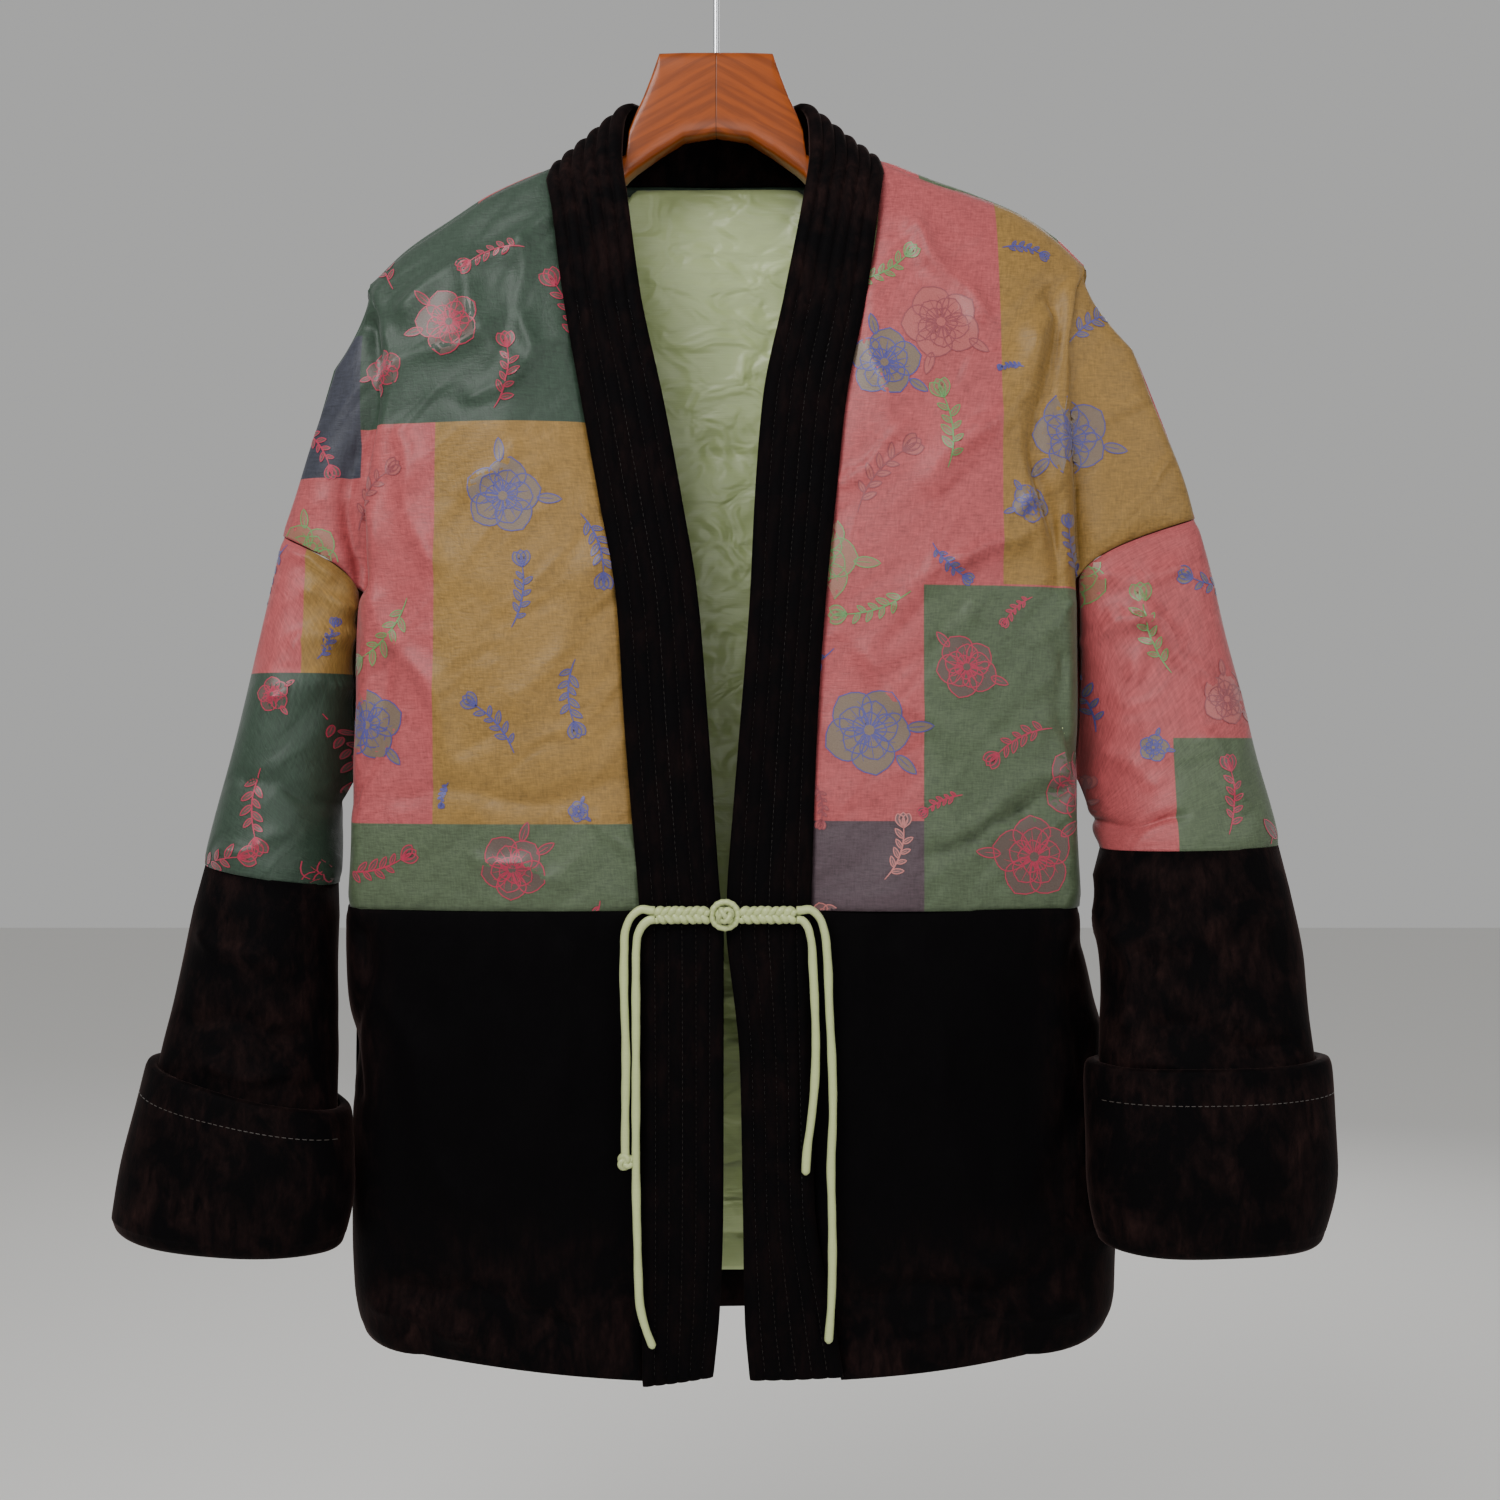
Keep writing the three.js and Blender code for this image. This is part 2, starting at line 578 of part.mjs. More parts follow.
// The velvet below the waist, from the given columns' inner edge to the flank.
function skirt(side, half, columns, inner, hem) {
  const rows = Array.from({ length: SKIRT_ROWS + 1 }, (_, i) => i / SKIRT_ROWS);
  return rows.map((w) => Array.from({ length: columns + FOLD_STEPS + 1 }, (_, j) => {
    const u = Math.min(1, j / columns);
    const side01 = j > columns ? (j - columns) / FOLD_STEPS : 0;
    const z = lerp(WAIST - GAP / 2, hem(u, side01), w);
    if (j > columns) return [...foldPoints(side, half, z, 400)[j - columns], z];
    return [...facePoint(side, half, u, z, 400, inner(z), half.start), z];
  }));
}
const FRONT_HEM = [
  { u: 0, z: -907 },
  { u: 0.5, z: -900 },
  { u: 1, z: -894 },
];
const frontHem = along(FRONT_HEM, 'u', 'z');
const BACK_HEM = -898;
const FLANK_HEM = -886;
const hemAt = (half) => (u, round) => (
  lerp(half === FRONT ? frontHem(u) : BACK_HEM, FLANK_HEM, ease(round))
);

// ---------------------------------------------------------------- sleeves and cuffs

// Stations of the sleeve's tables: where silk meets velvet, the turned cuff's top, and the end.
const VELVET_SLEEVE = 3;
const CUFF_TOP = 5;
const SLEEVE_END = 7;

// The armhole's seam as a closed loop: from the overarm down the front of the cap, down the crease
// to the underarm, up the crease behind and up the back of the cap. Each point carries its angle
// round the sleeve, 0 at the overarm and half a turn at the underarm.
function armholeLoop(front, back) {
  const rows = SHOULDER_ROWS + CREASE_ROWS;
  const lastOf = (net, i) => net[i][net[i].length - 1];
  const frontCap = [...front.cap[SHOULDER_ROWS]].reverse();
  const frontCrease = Array.from({ length: CREASE_ROWS }, (_, k) => (
    lastOf(front.panel, SHOULDER_ROWS + 1 + k)
  ));
  const backCrease = Array.from({ length: CREASE_ROWS - 1 }, (_, k) => (
    lastOf(back.hanging, rows - 1 - k)
  ));
  const backCap = [...back.cap[SHOULDER_ROWS]].reverse().slice(0, -1);
  const seamAngle = 0.33;
  const creaseAngle = 1.9;
  const angles = [
    ...frontCap.map((_, k) => lerp(seamAngle, creaseAngle, k / CAP_STEPS)),
    ...frontCrease.map((_, k) => lerp(creaseAngle, Math.PI, (k + 1) / CREASE_ROWS)),
    ...backCrease.map((_, k) => lerp(Math.PI, TURN - creaseAngle, (k + 1) / CREASE_ROWS)),
    ...backCap.map((_, k) => lerp(TURN - creaseAngle, TURN + 0.08, k / (CAP_STEPS + 1))),
  ];
  return { points: [...frontCap, ...frontCrease, ...backCrease, ...backCap], angles };
}

// The sleeve's ring at station q, a number that runs from 0 at the armhole through the table's
// rows, moved out by a distance. Near the armhole it is drawn towards the armhole's loop.
function sleeveRing(side, loop, q, out = 0, drop = 0) {
  const rows = side.sleeve.map((row, n) => ({ ...row, n }));
  const at = Object.fromEntries(['xo', 'zo', 'xi', 'zi', 'y', 'half'].map((key) => (
    [key, along(rows, 'n', key)(q)]
  )));
  const middle = [(at.xo + at.xi) / 2, at.y, (at.zo + at.zi) / 2];
  const axis = [(at.xo - at.xi) / 2, 0, (at.zo - at.zi) / 2];
  const length = Math.hypot(axis[0], axis[2]);
  const grown = 1 + out / length;
  const oval = ease(clamp(q / 1.7));
  return loop.angles.map((angle, k) => {
    const cos = Math.cos(angle);
    const across = Math.sign(cos) * Math.abs(cos) ** 0.9;
    const point = middle.map((m, i) => m + axis[i] * grown * across);
    point[1] -= (at.half + out) * Math.sin(angle);
    point[2] -= drop;
    return point.map((v, i) => lerp(loop.points[k][i], v, oval));
  });
}

const closed = (rings) => rings.map((ring) => [...ring, ring[0]]);

// A run of rings of the sleeve as a sheet, its first ring pulled off the seam above.
function sleevePart(side, loop, from, to, steps, pull) {
  const rings = Array.from({ length: steps + 1 }, (_, i) => (
    sleeveRing(side, loop, lerp(from, to, i / steps))
  ));
  rings[0] = rings[0].map((p, k) => {
    const next = rings[1][k];
    const reach = Math.hypot(...p.map((v, i) => next[i] - v));
    return p.map((v, i) => lerp(v, next[i], pull / reach));
  });
  return sheetOf(placed(side, closed(rings), true));
}

// The sleeve's end is turned back: a second wall outside it, joined to it by the rolled edge below.
const CUFF = 8; // the turned wall, wadding and facing
const ROLL = 7; // how far the rolled edge hangs below the sleeve's own end
function cuff(side, loop) {
  const ring = (q, out, drop) => sleeveRing(side, loop, q, out, drop);
  const clear = 2 * GAP;
  const rings = [
    ring(CUFF_TOP, clear, 0),
    ring(CUFF_TOP, CUFF, 0),
    ring(6, CUFF + 0.8, 0),
    ring(7, CUFF + 0.5, -2),
    ring(7, CUFF - 2, ROLL - 3),
    ring(7, 2, ROLL),
    ring(7, -3, ROLL - 1),
    ring(7, 1 - CLOTH, ROLL - 4),
    ring(7, 1 - CLOTH, clear),
    ring(7, clear, clear),
    ring(6.5, clear, 0),
    ring(6, clear, 0),
    ring(5.5, clear, 0),
  ];
  const { points, faces } = sheetOf(placed(side, closed([...rings, rings[0]]), true));
  return solid(points, faces);
}

// ---------------------------------------------------------------- band, lining and facing

// The band's outer face on one side, from the hem up the front, over the shoulder and round to the
// middle of the back of the neck.
const BAND_STEPS = 4;
const BAND_PROUD = 3; // the band stands out from the panels that it edges
function bandNet(side) {
  const front = side.band.map(({ xi, xo, y, zi, zo }) => ({ xi, xo, yi: y, yo: y, zi, zo }));
  const rows = [...front, ...neckOf(side)].map((row, n) => ({ ...row, n }));
  const at = Object.fromEntries(['xi', 'xo', 'yi', 'yo', 'zi', 'zo'].map((key) => (
    [key, along(rows, 'n', key)]
  )));
  const neckStart = front.length - 1;
  const stations = rows.flatMap(({ n }) => (n < neckStart + 1 ? [n, n + 0.5] : [n]));
  return stations.map((q) => {
    const proud = BAND_PROUD * (1 - ease(clamp((q - neckStart) / 2)));
    return Array.from({ length: BAND_STEPS + 1 }, (_, j) => {
      const u = j / BAND_STEPS;
      const crown = q < neckStart + 1 ? 1.5 * Math.sin(Math.PI * u) : 0;
      return [
        lerp(at.xi(q), at.xo(q), u),
        lerp(at.yi(q), at.yo(q), u) - proud - crown,
        lerp(at.zi(q), at.zo(q), u),
      ];
    });
  });
}

// The satin inside the back, from the neck's seam to the velvet facing above the hem, and no wider
// than shows between the fronts. Its outer part starts lower, clear of the hanger's arm.
const LINING_END = -872;
const LINING_COLUMNS = 6;
const LINING_SPLIT = 2; // column where its outer part meets the part below the neck
const LINING_CLEAR = 3; // rows that the outer part leaves out

function liningNets(side, hanging) {
  const end = () => LINING_END + GAP / 2;
  const lower = skirt(side, BACK, BACK_COLUMNS, () => 0, end).slice(1);
  const [first, second] = hanging;
  const top = first.map((p, j) => p.map((v, i) => lerp(v, second[j][i], 0.35)));
  const whole = [top, ...hanging.slice(1), ...lower];
  const part = (rows, from, to) => rows.map((row) => row.slice(from, to + 1));
  return [
    placed(side, part(whole, 0, LINING_SPLIT), true),
    placed(side, part(whole.slice(LINING_CLEAR), LINING_SPLIT, LINING_COLUMNS), true),
  ];
}

function facingNet(side) {
  const hem = () => BACK_HEM + 1;
  const rows = skirt(side, BACK, BACK_COLUMNS, () => 0, hem);
  const z = along([{ row: 0, z: LINING_END - GAP / 2 }, { row: 1, z: BACK_HEM + 1 }], 'row', 'z');
  const last = rows[rows.length - 1].slice(0, LINING_COLUMNS + 1);
  return placed(side, [0, 1].map((row) => last.map(([x, y]) => [x, y, z(row)])), true);
}

// A thin layer just inside a sheet, whose own cloth is in front of it.
function inside(sheet) {
  sheet.normals = normalsOf(sheet);
  sheet.full = sheet.points.map(() => 1);
  return wall(sunk(sheet, CLOTH + EDGE_GAP), LINING);
}

// ---------------------------------------------------------------- the closure and its cords

const CORD = 5;
const CLOSURE = { z: -626, y: -70, left: -35, right: 49, knot: 6.5 };
const BAR = { high: 9, deep: 6, cells: 5, nip: 0.8 }; // a braid, nipped in between its cells
const KNOT = { ball: 10.5, cord: 4, ring: 7.7 }; // the ball, and the loop's cord and radius

// A tube of the given width and height along a list of points.
function tube(points, width, high, sides, steps) {
  const path = new THREE.CatmullRomCurve3(points.map((p) => new THREE.Vector3(...p)));
  const shape = new THREE.Shape(Array.from({ length: sides }, (_, k) => {
    const angle = (TURN * k) / sides;
    return new THREE.Vector2((width / 2) * Math.cos(angle), (high / 2) * Math.sin(angle));
  }));
  return new THREE.ExtrudeGeometry(shape, { steps, bevelEnabled: false, extrudePath: path });
}

// A braided bar from one distance to another, its ends narrowed.
function braid(from, to) {
  const stations = Array.from({ length: 3 * BAR.cells + 1 }, (_, i) => i / (3 * BAR.cells));
  return loft(stations.map((t) => {
    const nip = BAR.nip * Math.cos(Math.PI * BAR.cells * t) ** 2;
    const end = t === 0 || t === 1 ? 0.75 : 1;
    return Array.from({ length: 8 }, (_, k) => {
      const angle = (TURN * (k + 0.5)) / 8;
      return [
        lerp(from, to, t),
        CLOSURE.y + (BAR.deep / 2) * end * Math.cos(angle) * 1.08,
        CLOSURE.z + (BAR.high / 2 - nip) * end * Math.sin(angle) * 1.08,
      ];
    });
  }));
}

function knotBall() {
  return new THREE.SphereGeometry(KNOT.ball / 2, 14, 9)
    .translate(CLOSURE.knot, CLOSURE.y - 1, CLOSURE.z);
}

function knotLoop() {
  return new THREE.TorusGeometry(KNOT.ring, KNOT.cord / 2, 8, 22)
    .rotateX(Math.PI / 2)
    .translate(CLOSURE.knot, CLOSURE.y, CLOSURE.z);
}

// How far a cord stands in front of the band, which comes forward towards the hem.
const cordDepth = (z) => lerp(CLOSURE.y, CLOSURE.y - 2.5, clamp((-715 - z) / 145));

// Each cord hangs from the end of a bar, against the band or beside it: x and z by hand.
const CORDS = {
  cord_left_long: [
    [-35.3, -628.6], [-38, -628.8], [-42, -631.5], [-45.2, -637], [-46.4, -646], [-46.6, -660], [-46.6, -700],
    [-46.6, -740], [-46.6, -772], [-46.2, -800], [-45.6, -822], [-45, -842], [-43.8, -860],
    [-40, -874], [-36, -884],
  ],
  cord_left_short: [
    [-35.3, -623.3], [-38, -623.2], [-43, -622.5], [-49, -626.5], [-52.6, -634], [-53.6, -648], [-53.8, -666],
    [-53.4, -684], [-52.8, -700], [-52.6, -716], [-52.8, -732], [-53, -750], [-53, -764],
    [-52.8, -777],
  ],
  cord_right_long: [
    [49.3, -623.3], [52, -623.2], [57, -622.6], [62.6, -627], [66, -636], [67.6, -650], [68.8, -680],
    [70.4, -712], [71, -745], [69.8, -776], [70.4, -804], [70.6, -830], [70, -856],
    [68.2, -881],
  ],
  cord_right_short: [
    [49.3, -628.6], [52, -628.8], [55.6, -632.6], [57.8, -640], [59, -656], [60.2, -680], [60.8, -704],
    [60, -728], [57.8, -750], [55.6, -766], [54.6, -781],
  ],
};

// ---------------------------------------------------------------- the hanger

// The block and its arms, by distance from the middle: the top where it is the block's, the lower
// edge, and half the thickness.
const HANGER = [
  { x: 0, top: -85, foot: -136.5, half: 9 },
  { x: 20, top: -85, foot: -139.5, half: 9 },
  { x: 36, top: -85.5, foot: -149.5, half: 9 },
  { x: 41, top: -100, foot: -153, half: 9 },
  { x: 46, top: -113, foot: -156.5, half: 9 },
  { x: 51, top: -124, foot: -160, half: 9 },
  { x: 55, top: -134, foot: -163.5, half: 9 },
  { x: 57, top: -150, foot: -165.5, half: 9 },
  { x: 76, top: -159, foot: -181, half: 9.2 },
  { x: 95, top: -164, foot: -189, half: 9.5 },
  { x: 110, top: null, foot: null, half: 9.5 },
  { x: 150, top: null, foot: null, half: 9.5 },
  { x: 190, top: null, foot: null, half: 9.5 },
  { x: 205, top: null, foot: null, half: 8 },
  { x: 209, top: null, foot: null, half: 6 },
];
const ARM_DEPTH = 21; // the arm's height under the shoulder
const SHOULDER_SINK = 7.6; // from the cloth's outer face down to the arm
const HOOK = { wire: 4, inner: 20, shank: -99 };

function hangerSection(side, row) {
  const over = row.top === null;
  const x = row.x + (over ? ((side.tip.x - 218) * (row.x - 110)) / 103 : 0);
  const ridge = curves.get(side).ridge(x) - SHOULDER_SINK;
  const top = over ? ridge : Math.min(row.top, row.x > 90 ? ridge : 0);
  const foot = over ? ridge - ARM_DEPTH : row.foot;
  const middle = (top + foot) / 2;
  const high = (top - foot) / 2;
  const corner = row.x > 60 ? 0.9 : 0.35;
  return Array.from({ length: 12 }, (_, k) => {
    const angle = (TURN * k) / 12;
    const soft = (v) => Math.sign(v) * Math.abs(v) ** corner;
    return [
      side.sign * x,
      row.half * soft(Math.cos(angle)),
      middle + high * soft(Math.sin(angle)),
    ];
  });
}

function hangerWood() {
  const leftSide = HANGER.slice(1).reverse().map((row) => hangerSection(LEFT, row));
  const rightSide = HANGER.map((row) => hangerSection(RIGHT, row));
  const whole = loft([...leftSide, ...rightSide]);
  const drill = new THREE.CylinderGeometry(HOOK.wire / 2 + GAP, HOOK.wire / 2 + GAP, 20, 12);
  drill.rotateX(Math.PI / 2).translate(0, 0, HOOK.shank - GAP + 10);
  return cut(whole, drill);
}

function toManifold(geometry) {
  geometry.deleteAttribute('normal');
  geometry.deleteAttribute('uv');
  const merged = mergeVertices(geometry, 1e-4);
  return new wasm.Manifold(new wasm.Mesh({
    numProp: 3,
    vertProperties: merged.attributes.position.array,
    triVerts: new Uint32Array(merged.index.array),
  }));
}

function cut(whole, tool) {
  const mesh = toManifold(whole).subtract(toManifold(tool)).getMesh();
  const geometry = new THREE.BufferGeometry();
  geometry.setAttribute('position', new THREE.BufferAttribute(mesh.vertProperties, 3));
  geometry.setIndex(new THREE.BufferAttribute(mesh.triVerts, 1));
  return geometry;
}

// The wire: up out of the block, then round three quarters of a circle whose inside top is the
// origin.
function hangerHook() {
  const radius = HOOK.inner + HOOK.wire / 2;
  const centre = -HOOK.inner;
  const arc = Array.from({ length: 15 }, (_, k) => {
    const angle = lerp(-Math.PI / 2, Math.PI * 1.06, k / 14);
    return [radius * Math.cos(angle), 0, centre + radius * Math.sin(angle)];
  });
  const shank = [HOOK.shank, -80, -64, -52].map((z) => [0, 0, z]);
  return tube([...shank, ...arc], HOOK.wire, HOOK.wire, 8, 44);
}

// ---------------------------------------------------------------- the whole

const MATERIALS = {
  tealSilk: { color: 0x4d6152, roughness: 0.45, metalness: 0 },
  pinkSilk: { color: 0xb4605e, roughness: 0.45, metalness: 0 },
  velvet: { color: 0x140e10, roughness: 0.95, metalness: 0 },
  lining: { color: 0x94a078, roughness: 0.35, metalness: 0 },
  cord: { color: 0xa6b482, roughness: 0.5, metalness: 0 },
  wood: { color: 0x9a5322, roughness: 0.35, metalness: 0 },
  chrome: { color: 0xc9ccd0, roughness: 0.15, metalness: 1 },
};

const jacket = new THREE.Group();
function add(name, geometry, material) {
  const mesh = new THREE.Mesh(geometry, new THREE.MeshStandardMaterial(MATERIALS[material]));
  mesh.name = name;
  jacket.add(mesh);
  return mesh;
}

const fronts = new Map([LEFT, RIGHT].map((side) => [side, frontSilk(side)]));
const backs = new Map([LEFT, RIGHT].map((side) => [side, backSilk(side)]));
const loops = new Map([LEFT, RIGHT].map((side) => [
  side, armholeLoop(fronts.get(side), backs.get(side)),
]));

function velvetNet(side, half, columns) {
  const inner = half === FRONT ? (z) => curves.get(side).edge(z) + EDGE_GAP : () => 0;
  return placed(side, skirt(side, half, columns, inner, hemAt(half)), half === BACK);
}

// Every sewn piece as a sheet, with its thickness and its cloth.
const SIDES = [[LEFT, 'left', 'tealSilk'], [RIGHT, 'right', 'pinkSilk']];
const backNets = SIDES.flatMap(([side]) => {
  const { over, hanging, cap } = backs.get(side);
  return [placed(side, over, true), placed(side, hanging, true), placed(side, cap)];
});
const backVelvetNets = SIDES.map(([side]) => velvetNet(side, BACK, BACK_COLUMNS));
const sewn = [
  ...SIDES.flatMap(([side, word, silk]) => {
    const { panel, cap } = fronts.get(side);
    const loop = loops.get(side);
    const front = sheetOf(placed(side, panel), placed(side, cap));
    const silkSleeve = sleevePart(side, loop, 0, VELVET_SLEEVE, 6, 5 * GAP);
    const velvetSleeve = sleevePart(side, loop, VELVET_SLEEVE, SLEEVE_END, 8, GAP);
    return [
      [`front_${word}_silk`, front, CLOTH, silk],
      [`front_${word}_velvet`, sheetOf(velvetNet(side, FRONT, CHEST_STEPS)), CLOTH, 'velvet'],
      [`sleeve_${word}_silk`, silkSleeve, CLOTH, silk],
      [`sleeve_${word}_velvet`, velvetSleeve, CLOTH, 'velvet'],
      [`band_${word}`, sheetOf(placed(side, bandNet(side), true)), BAND, 'velvet'],
    ];
  }),
  ['back_silk', sheetOf(...backNets), CLOTH, 'pinkSilk'],
  ['back_velvet', sheetOf(...backVelvetNets), CLOTH, 'velvet'],
];
shareNormals(sewn.map(([, sheet]) => sheet));
for (const [name, sheet, thickness, material] of sewn) add(name, wall(sheet, thickness), material);
for (const [side, word] of SIDES) add(`cuff_${word}`, cuff(side, loops.get(side)), 'velvet');

const liningSheet = sheetOf(...SIDES.flatMap(([side]) => liningNets(side, backs.get(side).hanging)));
add('back_lining', inside(liningSheet), 'lining');
add('back_hem_facing', inside(sheetOf(...SIDES.map(([side]) => facingNet(side)))), 'velvet');

add('hanger_wood', hangerWood(), 'wood');
add('hanger_hook', hangerHook(), 'chrome');

add('frog_bar_left', braid(CLOSURE.left, CLOSURE.knot - KNOT.ring - KNOT.cord / 2 - GAP), 'cord');
add('frog_bar_right', braid(CLOSURE.knot + KNOT.ring + KNOT.cord / 2 + GAP, CLOSURE.right), 'cord');
add('frog_knot', knotBall(), 'cord');
add('frog_loop', knotLoop(), 'cord');
for (const [name, points] of Object.entries(CORDS)) {
  add(name, tube(points.map(([x, z]) => [x, cordDepth(z), z]), CORD, CORD, 8, 24), 'cord');
}

export default jacket;
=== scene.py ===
# %% [markdown]
# # A padded patchwork jacket on its hanger
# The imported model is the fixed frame. Each cloth solid is replaced by a finer wall on the same
# form, with its padding, creases, ribs and stitches, and every piece gets a procedural material.
# Lengths are in millimetres while a surface is worked out, and in metres once it is a mesh.

# %% The frame
import json
import math
from collections import namedtuple

import bpy
import numpy as np
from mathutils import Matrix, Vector
from mathutils.bvhtree import BVHTree

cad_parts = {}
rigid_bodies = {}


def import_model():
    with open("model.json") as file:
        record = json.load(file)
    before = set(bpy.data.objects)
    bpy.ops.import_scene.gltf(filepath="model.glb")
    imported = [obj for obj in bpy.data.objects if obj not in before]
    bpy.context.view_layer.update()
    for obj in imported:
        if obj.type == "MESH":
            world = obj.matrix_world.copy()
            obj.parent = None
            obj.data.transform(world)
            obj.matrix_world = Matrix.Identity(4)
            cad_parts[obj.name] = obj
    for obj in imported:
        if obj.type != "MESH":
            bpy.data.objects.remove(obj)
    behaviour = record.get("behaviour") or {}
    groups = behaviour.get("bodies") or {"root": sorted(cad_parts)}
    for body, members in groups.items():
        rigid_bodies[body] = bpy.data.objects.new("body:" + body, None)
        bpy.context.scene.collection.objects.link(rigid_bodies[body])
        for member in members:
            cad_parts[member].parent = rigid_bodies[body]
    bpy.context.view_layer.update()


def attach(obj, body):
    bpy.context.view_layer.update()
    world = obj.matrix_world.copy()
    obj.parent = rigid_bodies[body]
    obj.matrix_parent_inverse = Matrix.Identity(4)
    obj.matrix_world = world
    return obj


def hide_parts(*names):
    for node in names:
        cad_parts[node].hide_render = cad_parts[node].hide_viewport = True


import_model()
scene = bpy.context.scene

# %% [markdown]
# ## Camera
# It looks along +Y from a little over a metre away, level with the middle of the jacket.

# %% Camera
EYE = (21.5, -1115.0, -527.4)
camera = bpy.data.objects.new("camera", bpy.data.cameras.new("camera"))
camera.data.sensor_width = 36.0
camera.data.lens = 42.0
camera.location = [v / 1000 for v in EYE]
camera.rotation_euler = (math.pi / 2, 0.0, 0.0)
camera.data.clip_start = 0.01
camera.data.clip_end = 50.0
scene.collection.objects.link(camera)
scene.camera = camera
print("camera at", EYE, "mm,", camera.data.lens, "mm lens")

# %% [markdown]
# ## Curves
# `along` is a smooth curve through the rows of a table that never overshoots them: its slope at
# a row is the harmonic mean of the slopes beside it, or 0 at a turn.

# %% Curves
TURN = 2 * math.pi


def lerp(a, b, t):
    return a + (b - a) * t


def ease(t):
    return t * t * (3 - 2 * t)


def clamp(t):
    return np.clip(t, 0.0, 1.0)


def along(xs, ys):
    """y(x) through the rows (xs, ys): a cubic on each span, held level outside them."""
    order = np.argsort(xs)
    x = np.array(xs, float)[order]
    y = np.array(ys, float)[order]
    h = np.diff(x)
    d = np.diff(y) / h
    m = np.concatenate(([d[0]], np.zeros(len(x) - 2), [d[-1]]))
    turning = d[:-1] * d[1:] <= 0
    total = np.where(turning, 1.0, d[:-1] + d[1:])
    m[1:-1] = np.where(turning, 0.0, 2 * d[:-1] * d[1:] / total)

    def at(v):
        v = np.clip(np.asarray(v, float), x[0], x[-1])
        i = np.clip(np.searchsorted(x, v, side="right") - 1, 0, len(x) - 2)
        t = (v - x[i]) / h[i]
        s = 1 - t
        return (
            y[i] * (1 + 2 * t) * s * s + m[i] * h[i] * t * s * s
            + y[i + 1] * t * t * (3 - 2 * t) - m[i + 1] * h[i] * t * t * s
        )

    return at


def distances(points):
    """How far along a line each of its points lies."""
    return np.concatenate(([0], np.cumsum(np.linalg.norm(np.diff(points, axis=0), axis=1))))


def bezier(a, b, c, d, t):
    """(1-t)^3 a + 3 (1-t)^2 t b + 3 (1-t) t^2 c + t^3 d, each point a list of coordinates."""
    s = 1 - t
    return [
        s**3 * p + 3 * s * s * t * q + 3 * s * t * t * r + t**3 * e
        for p, q, r, e in zip(a, b, c, d)
    ]

# %% [markdown]
# ## The garment's own sizes
# These are the part's named sizes and tables. Each side is worked out in its own outward
# distance, and `sign` places it.

# %% Sizes
GAP = 0.3
EDGE_GAP = 0.3
UNDERLAP = 1.4
CLOTH = 5.0
LINING = 1.2
BAND = 6.5
RIDGE_SEAM = -12.0
RIDGE_CURVE = 0.022
RIDGE_BACK = 6.0
HANG = 30.0
WAIST = -624.0
NECK_TOP = -163.0
CAP_DEPTH = 36.0
CAP_FULL = 14.0
CREST = 8.0
CREST_ROUNDED = 4.0
ROUNDING = 120.0
SWELL_OVER = 150.0
TIP_OVER = 25.0
SETTLED = 400.0
CHEST_STEPS = 6
NECK_COLUMNS = 4

DEPTH_ROWS = [  # height, then the depth at the band, the fold, the back and the back's fold
    (-150, 34, 40, 46, 36), (-244, 43, 42, 52, 44), (-325, 50, 44, 55, 48),
    (-376, 54, 46, 56, 49), (-437, 58, 47, 56, 49), (-517, 60, 48, 55, 48),
    (-624, 61, 50, 55, 47), (-760, 61, 52, 56, 50), (-910, 62, 54, 57, 52),
]
NECK_ROWS = [  # inner and outer distance, inner and outer depth, inner and outer height
    (54, 101, -38, -36, -190, -190), (60, None, -26, -20, -152, None),
    (60.5, None, -13, -12, -129, None), (59, None, -3, -3, -117, None),
    (56, None, 7, 6, -111, None), (49, 92, 22, 28, -109, -155),
    (32, 66, 37, 44, -108, -154), (14, 32, 43, 50, -108, -153),
    (0.2, 0.2, 45, 52, -108, -153),
]

# %% [markdown]
# ### One side
# Each side has its own tables, because the jacket hangs unevenly. The class turns them into
# curves, most of them over the height, so a surface can ask for a distance or a depth anywhere.

# %% One side


class Side:
    """One side of the jacket: its tables as curves."""

    def __init__(self, name, sign, tip, armhole, flank, body, ridge, overarm, sleeve, band):
        self.name = name
        self.sign = sign
        self.tip = tip
        self.overarm_z, self.crease_z, self.underarm_z = armhole
        z, edge, fold, flank_x = zip(*body)
        self.edge = along(z, edge)
        self.fold = along(z, fold)
        self.flank = along(z, flank_x)
        self.flank_depth = along(*zip(*flank))
        self.ridge = along(*zip(*ridge))
        self.overarm = along(*zip(*overarm))
        self.sleeve = [along(range(len(sleeve)), column) for column in zip(*sleeve)]
        self.band_rows = band

    def rounded(self, z):
        """How much of the round flank has replaced the sharp fold below the underarm."""
        return ease(clamp((self.underarm_z - z) / ROUNDING))

    def crest(self, z):
        return self.fold(z) - CREST - CREST_ROUNDED * self.rounded(z)

    def top(self, y, x=None):
        """The shoulder's height at depth y and distance x, or at the tip."""
        x = self.tip[0] if x is None else x
        return self.ridge(x) - RIDGE_CURVE * y * y

# %% [markdown]
# ### The left side
# Its rows say where the front ends at the band, where the cloth folds back beside the arm, and how
# the sleeve and the band run down.

